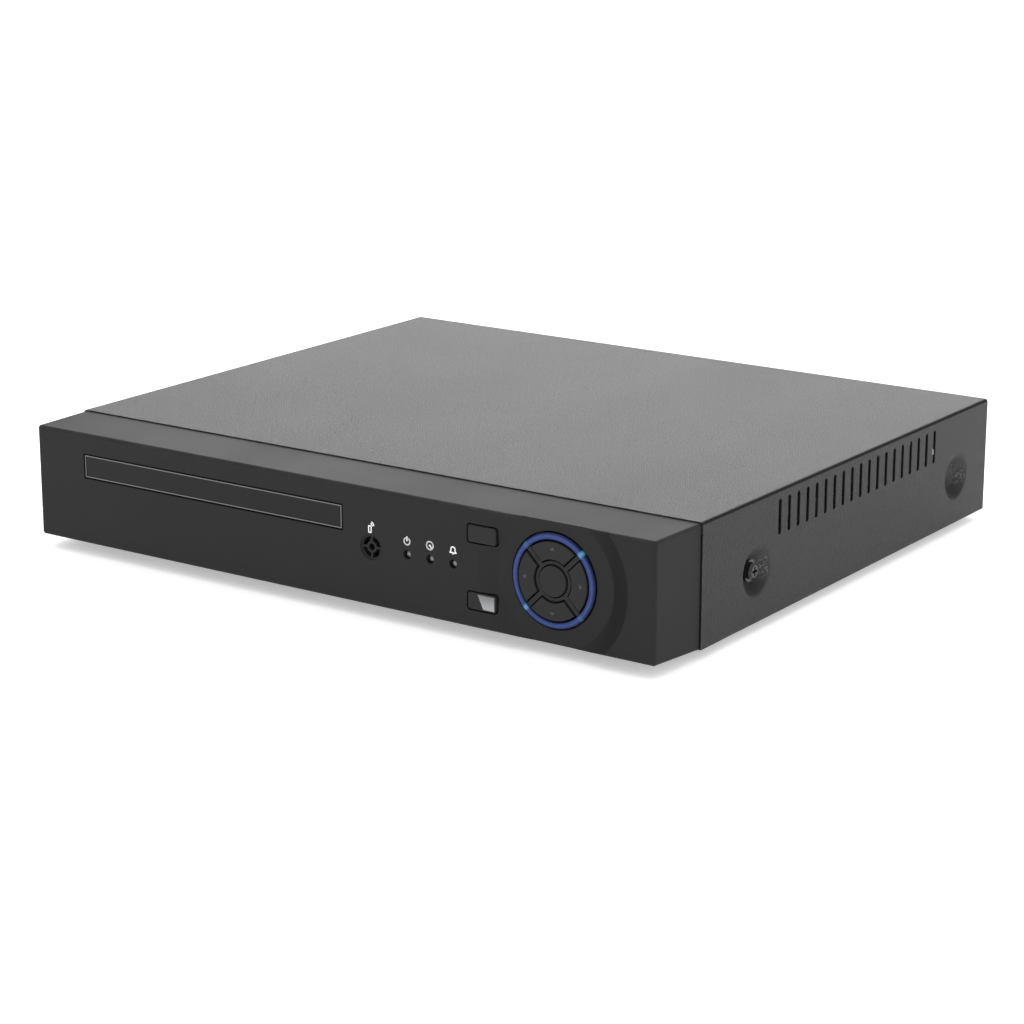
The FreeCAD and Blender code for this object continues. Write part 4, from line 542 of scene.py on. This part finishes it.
remote_mark = stroke([(-0.9, -1.2), (-0.9, 0.9), (0.1, 0.9), (0.1, -1.2), (-0.9, -1.2)], line)
remote_mark += stroke(arc(-0.4, 0.9, 0.95, 10, 60, 6), line) + stroke(arc(-0.4, 0.9, 1.6, 10, 60, 8), line)
power_mark = stroke(arc(0, -0.1, 1.15, 125, 415), line) + stroke([(0, 0.1), (0, 1.4)], line)
disk_mark = stroke(arc(0, 0, 1.3, 0, 360, 24), line) + [disc(0, 0, 0.35, 12)]
disk_mark += stroke([(0.9, -0.95), (0.2, -0.25)], line)
bell_mark = stroke(
    [(-1.2, -0.8), (-0.8, -0.3), *arc(0, 0.3, 0.8, 180, 0, 8), (0.8, -0.3), (1.2, -0.8), (-1.2, -0.8)], line
) + [disc(0, -1.15, 0.28, 10)]
for title, shapes, x, z in (
    ("mark_remote", remote_mark, window_x, over_window), ("mark_power", power_mark, light_x[0], over_lights),
    ("mark_disk", disk_mark, light_x[1], over_lights), ("mark_alarm", bell_mark, light_x[2], over_lights),
):
    plates(title, shapes, (x * MM, front, z * MM), material=white_ink)


# ---------------------------------------------------------------------------------------------------------
# The name plate: a blank black printed sheet in a thin silver frame. Both sit in a shallow recess of the
# bezel, and are glued there.

plate_black = finish(
    "plate_black", (0.013, 0.013, 0.0135), 0.22, patches=(0.02, 0.2), specks=(0.0004, 0.15),
    grain=(0.0006, 0.2), dent=0.000004, smears=(0.015, 0.12), shine=0.12,
)
frame_silver = finish(
    "frame_silver", (0.14, 0.14, 0.145), 0.3, metal=1.0, patches=(0.01, 0.08), specks=(0.0003, 0.08),
    grain=(0.0005, 0.3), dent=0.000004, smears=(0.006, 0.15),
)
dress(plate_black, "label_plate")
dress(frame_silver, "label_frame")


# ---------------------------------------------------------------------------------------------------------
# The keypad: a blue translucent ring with the glow of four lights painted on it as bright spots, a painted
# highlight streak along its middle and painted shade along its edges; a fixed spider with four spokes, and four
# arrow keys round a centre key. Spider and keys are the bezel's plastic, but smoother, and a faint triangle is
# printed on each arrow key.

ring_shade_in, ring_shade_out = (0.01350, 0.01325), (0.01475, 0.01500)
highlight_in, highlight_out, highlight_share = (0.01385, 0.01415), (0.01450, 0.01425), 0.45
glow_width, glow_in, glow_fade = (0.0016, 0.0004), (0.01310, 0.01360), (0.004, 0.014)
ring_edge_shade, ring_highlight, ring_glow = (0.004, 0.008, 0.035), (0.050, 0.095, 0.26), (0.08, 0.25, 0.40)

ring_blue, tree, shader = blank("ring_blue")
parts, reach = round_keypad(tree)
sideways, upward = reckon(tree, "ABSOLUTE", parts[0]), reckon(tree, "ABSOLUTE", parts[2])
apart = reckon(tree, "ABSOLUTE", reckon(tree, "SUBTRACT", sideways, upward))
diagonal = reckon(tree, "ABSOLUTE", reckon(tree, "ADD", parts[0], parts[2]))
tone = toned(tree, (0.016, 0.036, 0.155), patches=(0.004, 0.5), specks=(0.0006, 0.12))
# Painted shade: darker navy along the ring's inner and outer edges, in the gaps on either side.
edge_shade = reckon(tree, "MAXIMUM", ramp(tree, reach, *ring_shade_in), ramp(tree, reach, *ring_shade_out))
tone = stain(tree, edge_shade, tone, ring_edge_shade)
# Painted highlight: a lighter blue streak along the middle of the ring's band.
highlight_streak = overlap(tree, ramp(tree, reach, *highlight_in), ramp(tree, reach, *highlight_out))
tone = stain(tree, reckon(tree, "MULTIPLY", highlight_streak, highlight_share), tone, ring_highlight)
# Painted glow: four bright cyan spots on the diagonals stand in for the lights shining through the ring.
painted_glow = reckon(
    tree, "MULTIPLY", ramp(tree, apart, *glow_width),
    overlap(tree, ramp(tree, reach, *glow_in), ramp(tree, diagonal, *glow_fade, start=0.2, end=1.0)),
)
surface(tree, shader, stain(tree, painted_glow, tone, ring_glow), 0.3, smears=(0.01, 0.1))
shader.inputs["Specular IOR Level"].default_value = 0.2
emboss(tree, shader, grouped(tree, grain_group, Size=0.001, Fine_Share=0.3).outputs[0], 0.00001)
dress(ring_blue, "light_ring")

key_plastic = finish(
    "key_plastic", (0.020, 0.020, 0.021), 0.36, patches=(0.01, 0.2), specks=(0.0004, 0.2), grain=(0.00035, 0.5),
    dent=0.000012, smears=(0.008, 0.12), shine=0.12,
)
arrow_keys = ("key_up", "key_down", "key_left", "key_right")
dress(key_plastic, "key_spider", "key_ok", *arrow_keys)

faint_ink = finish(
    "faint_ink", (0.027, 0.027, 0.028), 0.45, patches=(0.003, 0.2), specks=(0.0003, 0.2), grain=(0.0003, 0.3),
    dent=0.000004,
)
arrow = [(0.0, 0.75), (-0.85, -0.45), (0.85, -0.45)]
arrow_reach = 0.0103
for name in arrow_keys:
    low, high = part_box(name)
    way = Vector(((low.x + high.x) / 2 - pad.x, 0, (low.z + high.z) / 2 - pad.z)).normalized()
    at = Vector((pad.x, low.y, pad.z)) + way * arrow_reach
    side = Vector((way.z, 0, -way.x))
    plates(
        "mark_" + name, [arrow], at, along=side, up=way, body=name[4:] + "_key", material=faint_ink,
    )


# ---------------------------------------------------------------------------------------------------------
# The two keys beside the keypad: the same plastic, standing slightly proud; the lower one has a pale
# translucent insert with a leaning left side, darker towards its top.

dress(key_plastic, "key_menu", "key_power")
insert_grey = finish(
    "insert_grey", (0.30, 0.31, 0.32), 0.35, patches=(0.003, 0.12), specks=(0.0004, 0.1), grain=(0.0005, 0.3),
    dent=0.000006,
)
tree, shader, moulded = reopen(insert_grey)
low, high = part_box("key_power_window")
pale_band, darkest = 0.001, 0.85
height = put(tree, "SeparateXYZ", Vector=place(tree)).outputs[2]
depth = ramp(tree, height, low.z + pale_band, high.z, start=0.0, end=darkest)
tree.links.new(stain(tree, depth, moulded, (0.11, 0.11, 0.115)), shader.inputs["Base Color"])
dress(insert_grey, "key_power_window")


# ---------------------------------------------------------------------------------------------------------
# The lights and the remote's window: three clear domes that carry light from the board to the face, and a
# dark red filter behind the slotted grille.

lens_clear, tree, shader = blank("lens_clear")
tone = toned(tree, (0.20, 0.20, 0.205), patches=(0.002, 0.15), specks=(0.0003, 0.1))
surface(tree, shader, tone, 0.16, smears=(0.002, 0.08))
shader.inputs["Coat Weight"].default_value = 0.6
dress(lens_clear, "led_domes")
filter_red = finish(
    "filter_red", (0.004, 0.0015, 0.002), 0.2, patches=(0.004, 0.15), specks=(0.0004, 0.1), grain=(0.0006, 0.2),
    dent=0.000004,
)
dress(filter_red, "ir_window")


# ---------------------------------------------------------------------------------------------------------
# The front board and what is soldered to it: switches with steel covers and black plungers, four white
# lights behind the ring, and the remote's receiver in its black moulding.

tracks_per_cell, track_edge, via_edge = 6.0, (0.45, 0.62), (0.12, 0.09)
track_group, given, wanted = socketed(
    "Tracks", [("Pitch", "Float", 0.0025)], [("Tracks", "Float"), ("Vias", "Float")]
)
scale = reckon(track_group, "DIVIDE", 1.0, given["Pitch"])
runs = put(
    track_group, "TexVoronoi", {"distance": "MANHATTAN", "feature": "F1"}, Vector=place(track_group),
    Scale=scale,
)
lanes = reckon(track_group, "MULTIPLY", runs.outputs["Distance"], tracks_per_cell)
stripes = reckon(track_group, "PINGPONG", lanes, 1.0)
track_group.links.new(ramp(track_group, stripes, *track_edge), wanted["Tracks"])
halved = reckon(track_group, "MULTIPLY", scale, 0.5)
drills = put(track_group, "TexVoronoi", Vector=place(track_group), Scale=halved)
track_group.links.new(ramp(track_group, drills.outputs["Distance"], *via_edge), wanted["Vias"])


def board_finish(name, mask, copper, tin=(0.65, 0.60, 0.42)):
    """Solder mask over copper tracks, with bright drilled holes."""
    made, tree, shader = blank(name)
    etched = grouped(tree, track_group, Pitch=0.0045).outputs
    tone = toned(tree, mask, patches=(0.02, 0.2), specks=(0.0004, 0.1))
    tone = stain(tree, etched["Tracks"], tone, copper)
    surface(tree, shader, stain(tree, etched["Vias"], tone, tin), 0.3, smears=(0.01, 0.1))
    tree.links.new(etched["Vias"], shader.inputs["Metallic"])
    emboss(tree, shader, etched["Tracks"], 0.00003)
    return made


green_board = board_finish("green_board", (0.008, 0.07, 0.03), (0.02, 0.13, 0.05))
dress(green_board, "front_board", "main_board")

tinned = finish(
    "tinned_steel", (0.60, 0.60, 0.61), 0.32, metal=1.0, patches=(0.01, 0.12), specks=(0.0006, 0.15),
    grain=(0.0007, 0.4), dent=0.00001,
)
dress(tinned, "tact_switches")
black_moulding = finish(
    "black_moulding", (0.018, 0.018, 0.018), 0.5, patches=(0.01, 0.2), specks=(0.0004, 0.3),
    grain=(0.0005, 0.4), dent=0.00002,
)
dress(black_moulding, *["plunger_" + k for k in ("up", "down", "left", "right", "ok", "menu", "power")])
dress(black_moulding, "ir_receiver")
lamp_white = finish(
    "lamp_white", (0.75, 0.76, 0.70), 0.4, patches=(0.002, 0.1), specks=(0.0004, 0.1), grain=(0.0006, 0.3),
    dent=0.000006,
)
dress(lamp_white, "ring_leds")


# ---------------------------------------------------------------------------------------------------------
# Screws: cross-head steel ones, zinc-plated inside the case, and black outside where they show in the cover's
# dishes and rear tabs.

bright_zinc = finish(
    "bright_zinc", (0.58, 0.58, 0.56), 0.3, metal=1.0, patches=(0.004, 0.2), specks=(0.0004, 0.15),
    grain=(0.0004, 0.4), dent=0.00001,
)
black_zinc = finish(
    "black_zinc", (0.008, 0.008, 0.0085), 0.16, metal=0.2, patches=(0.003, 0.2), specks=(0.0003, 0.2),
    grain=(0.0004, 0.4), dent=0.00001,
)
dress(bright_zinc, "bezel_screws", "board_screws", "disk_screws", "front_board_screws")
dress(black_zinc, "cover_screws")


# ---------------------------------------------------------------------------------------------------------
# The recorder board: a green board on the chassis standoffs, with moulded chips, capacitors in metal cans, a
# finned black sink, the clock's steel cell and white nylon headers.

dress(black_moulding, "board_chips")
can_metal = finish(
    "can_metal", (0.55, 0.56, 0.58), 0.35, metal=0.9, patches=(0.006, 0.12), specks=(0.0005, 0.1),
    grain=(0.0005, 0.4), dent=0.00001,
)
sink_black = finish(
    "sink_black", (0.03, 0.03, 0.033), 0.42, metal=0.8, patches=(0.01, 0.12), specks=(0.0005, 0.2),
    grain=(0.0006, 0.4), dent=0.00002, rubbed=("heat_sink", (0.5, 0.5, 0.5), 0.6, 0.0006),
)
cell_steel = finish(
    "cell_steel", (0.66, 0.65, 0.62), 0.22, metal=1.0, patches=(0.006, 0.1), specks=(0.0005, 0.08),
    grain=(0.0007, 0.3), dent=0.000008,
)
nylon = finish(
    "white_nylon", (0.66, 0.64, 0.57), 0.45, patches=(0.006, 0.1), specks=(0.0006, 0.08), grain=(0.0006, 0.4),
    dent=0.00001,
)
dress(can_metal, "board_capacitors")
dress(sink_black, "heat_sink")
dress(cell_steel, "coin_cell")
dress(nylon, "board_headers", "lead_plugs")


# ---------------------------------------------------------------------------------------------------------
# The jacks behind: nickel-plated BNC and phono shells in black housings, a blue insert in the VGA's shell,
# a black supply inlet, and tinned shells for the other three. They reach out through the rear panel.

nickel = finish(
    "nickel_plate", (0.66, 0.64, 0.60), 0.2, metal=1.0, patches=(0.008, 0.1), specks=(0.0004, 0.08),
    grain=(0.0006, 0.3), dent=0.000008, smears=(0.006, 0.12),
)
gold = finish(
    "gold_plate", (0.78, 0.56, 0.20), 0.22, metal=1.0, patches=(0.004, 0.1), specks=(0.0004, 0.08),
    grain=(0.0005, 0.3), dent=0.000006,
)
vga_blue = finish(
    "vga_blue", (0.02, 0.07, 0.32), 0.45, patches=(0.006, 0.12), specks=(0.0005, 0.1), grain=(0.0006, 0.4),
    dent=0.00001,
)
dress(nickel, "bnc_shells", "rca_shells", "vga_shell")
dress(gold, "bnc_contacts")
dress(vga_blue, "vga_insert")
dress(black_moulding, "bnc_housing", "rca_housing", "power_jack")
dress(tinned, "hdmi_port", "usb_ports", "lan_jack")


# ---------------------------------------------------------------------------------------------------------
# The hard disk: a cast and blackened base, a stamped bright lid, mirror platters and a machined head arm,
# with its controller board underneath.

cast_grey = finish(
    "cast_grey", (0.045, 0.046, 0.048), 0.55, metal=0.5, patches=(0.02, 0.2), specks=(0.0009, 0.3),
    grain=(0.0012, 0.4), dent=0.00006, rubbed=("disk_casting", (0.5, 0.5, 0.5), 0.6, 0.001),
)
lid_bright = finish(
    "lid_bright", (0.62, 0.63, 0.64), 0.3, metal=1.0, patches=(0.02, 0.08), specks=(0.0005, 0.08),
    grain=(0.0006, 0.3), dent=0.000012,
)
mirror = finish(
    "platter_mirror", (0.80, 0.79, 0.77), 0.06, metal=1.0, patches=(0.02, 0.04), specks=(0.0006, 0.03),
    grain=(0.001, 0.2), dent=0.000001, smears=(0.01, 0.02),
)
blue_board = board_finish("blue_board", (0.008, 0.03, 0.10), (0.02, 0.07, 0.18))
dress(cast_grey, "disk_casting")
dress(lid_bright, "disk_lid", "head_arm")
dress(mirror, "disk_platters")
dress(blue_board, "disk_board")


# ---------------------------------------------------------------------------------------------------------
# The leads inside: a grey ribbon to the front board, a red data lead, and four supply wires to the disk that
# are yellow, black, black and red across.

ribbon_ridges, ridge_share = 260.0, 0.4
ribbon_grey, tree, shader = blank("ribbon_grey")
wave = put(
    tree, "TexWave", {"wave_type": "BANDS", "bands_direction": "X"}, Vector=place(tree), Scale=ribbon_ridges
).outputs[1]
tone = toned(tree, (0.34, 0.35, 0.36), patches=(0.01, 0.1), specks=(0.0005, 0.1))
tone = stain(tree, reckon(tree, "MULTIPLY", wave, ridge_share), tone, (0.15, 0.15, 0.16))
surface(tree, shader, tone, 0.45, smears=(0.01, 0.1))
emboss(tree, shader, wave, 0.0002)
dress(ribbon_grey, "ribbon_cable")
lead_red = finish(
    "lead_red", (0.40, 0.015, 0.015), 0.4, patches=(0.008, 0.1), specks=(0.0005, 0.1), grain=(0.0007, 0.4),
    dent=0.00001,
)
wires_mixed = finish(
    "wires_mixed", (0.55, 0.38, 0.03), 0.4, patches=(0.008, 0.1), specks=(0.0005, 0.1), grain=(0.0007, 0.4),
    dent=0.00001,
)
dress(lead_red, "data_lead")

wire_turn_y, yellow_ends, black_ends = 0.016, (0.0462, 0.0464), (0.0504, 0.0506)
sheath_black, sheath_red = (0.012, 0.012, 0.012), (0.42, 0.012, 0.012)
tree, shader, sheath = reopen(wires_mixed)
parts = put(tree, "SeparateXYZ", Vector=place(tree)).outputs
which = reckon(tree, "MAXIMUM", parts[0], reckon(tree, "SUBTRACT", wire_turn_y, parts[1]))
sheath = stain(tree, ramp(tree, which, *yellow_ends), sheath, sheath_black)
sheath = stain(tree, ramp(tree, which, *black_ends), sheath, sheath_red)
tree.links.new(sheath, shader.inputs["Base Color"])
dress(wires_mixed, "supply_wires")


# ---------------------------------------------------------------------------------------------------------
# The feet: four moulded rubber discs with a small dimple in each. They're stuck under the chassis's corners
# and hold the case 3 mm off the table.

foot_rubber = finish(
    "foot_rubber", (0.012, 0.012, 0.012), 0.75, patches=(0.01, 0.25), specks=(0.0006, 0.4), grain=(0.0007, 0.4),
    dent=0.00004,
)
dress(foot_rubber, "rubber_feet")
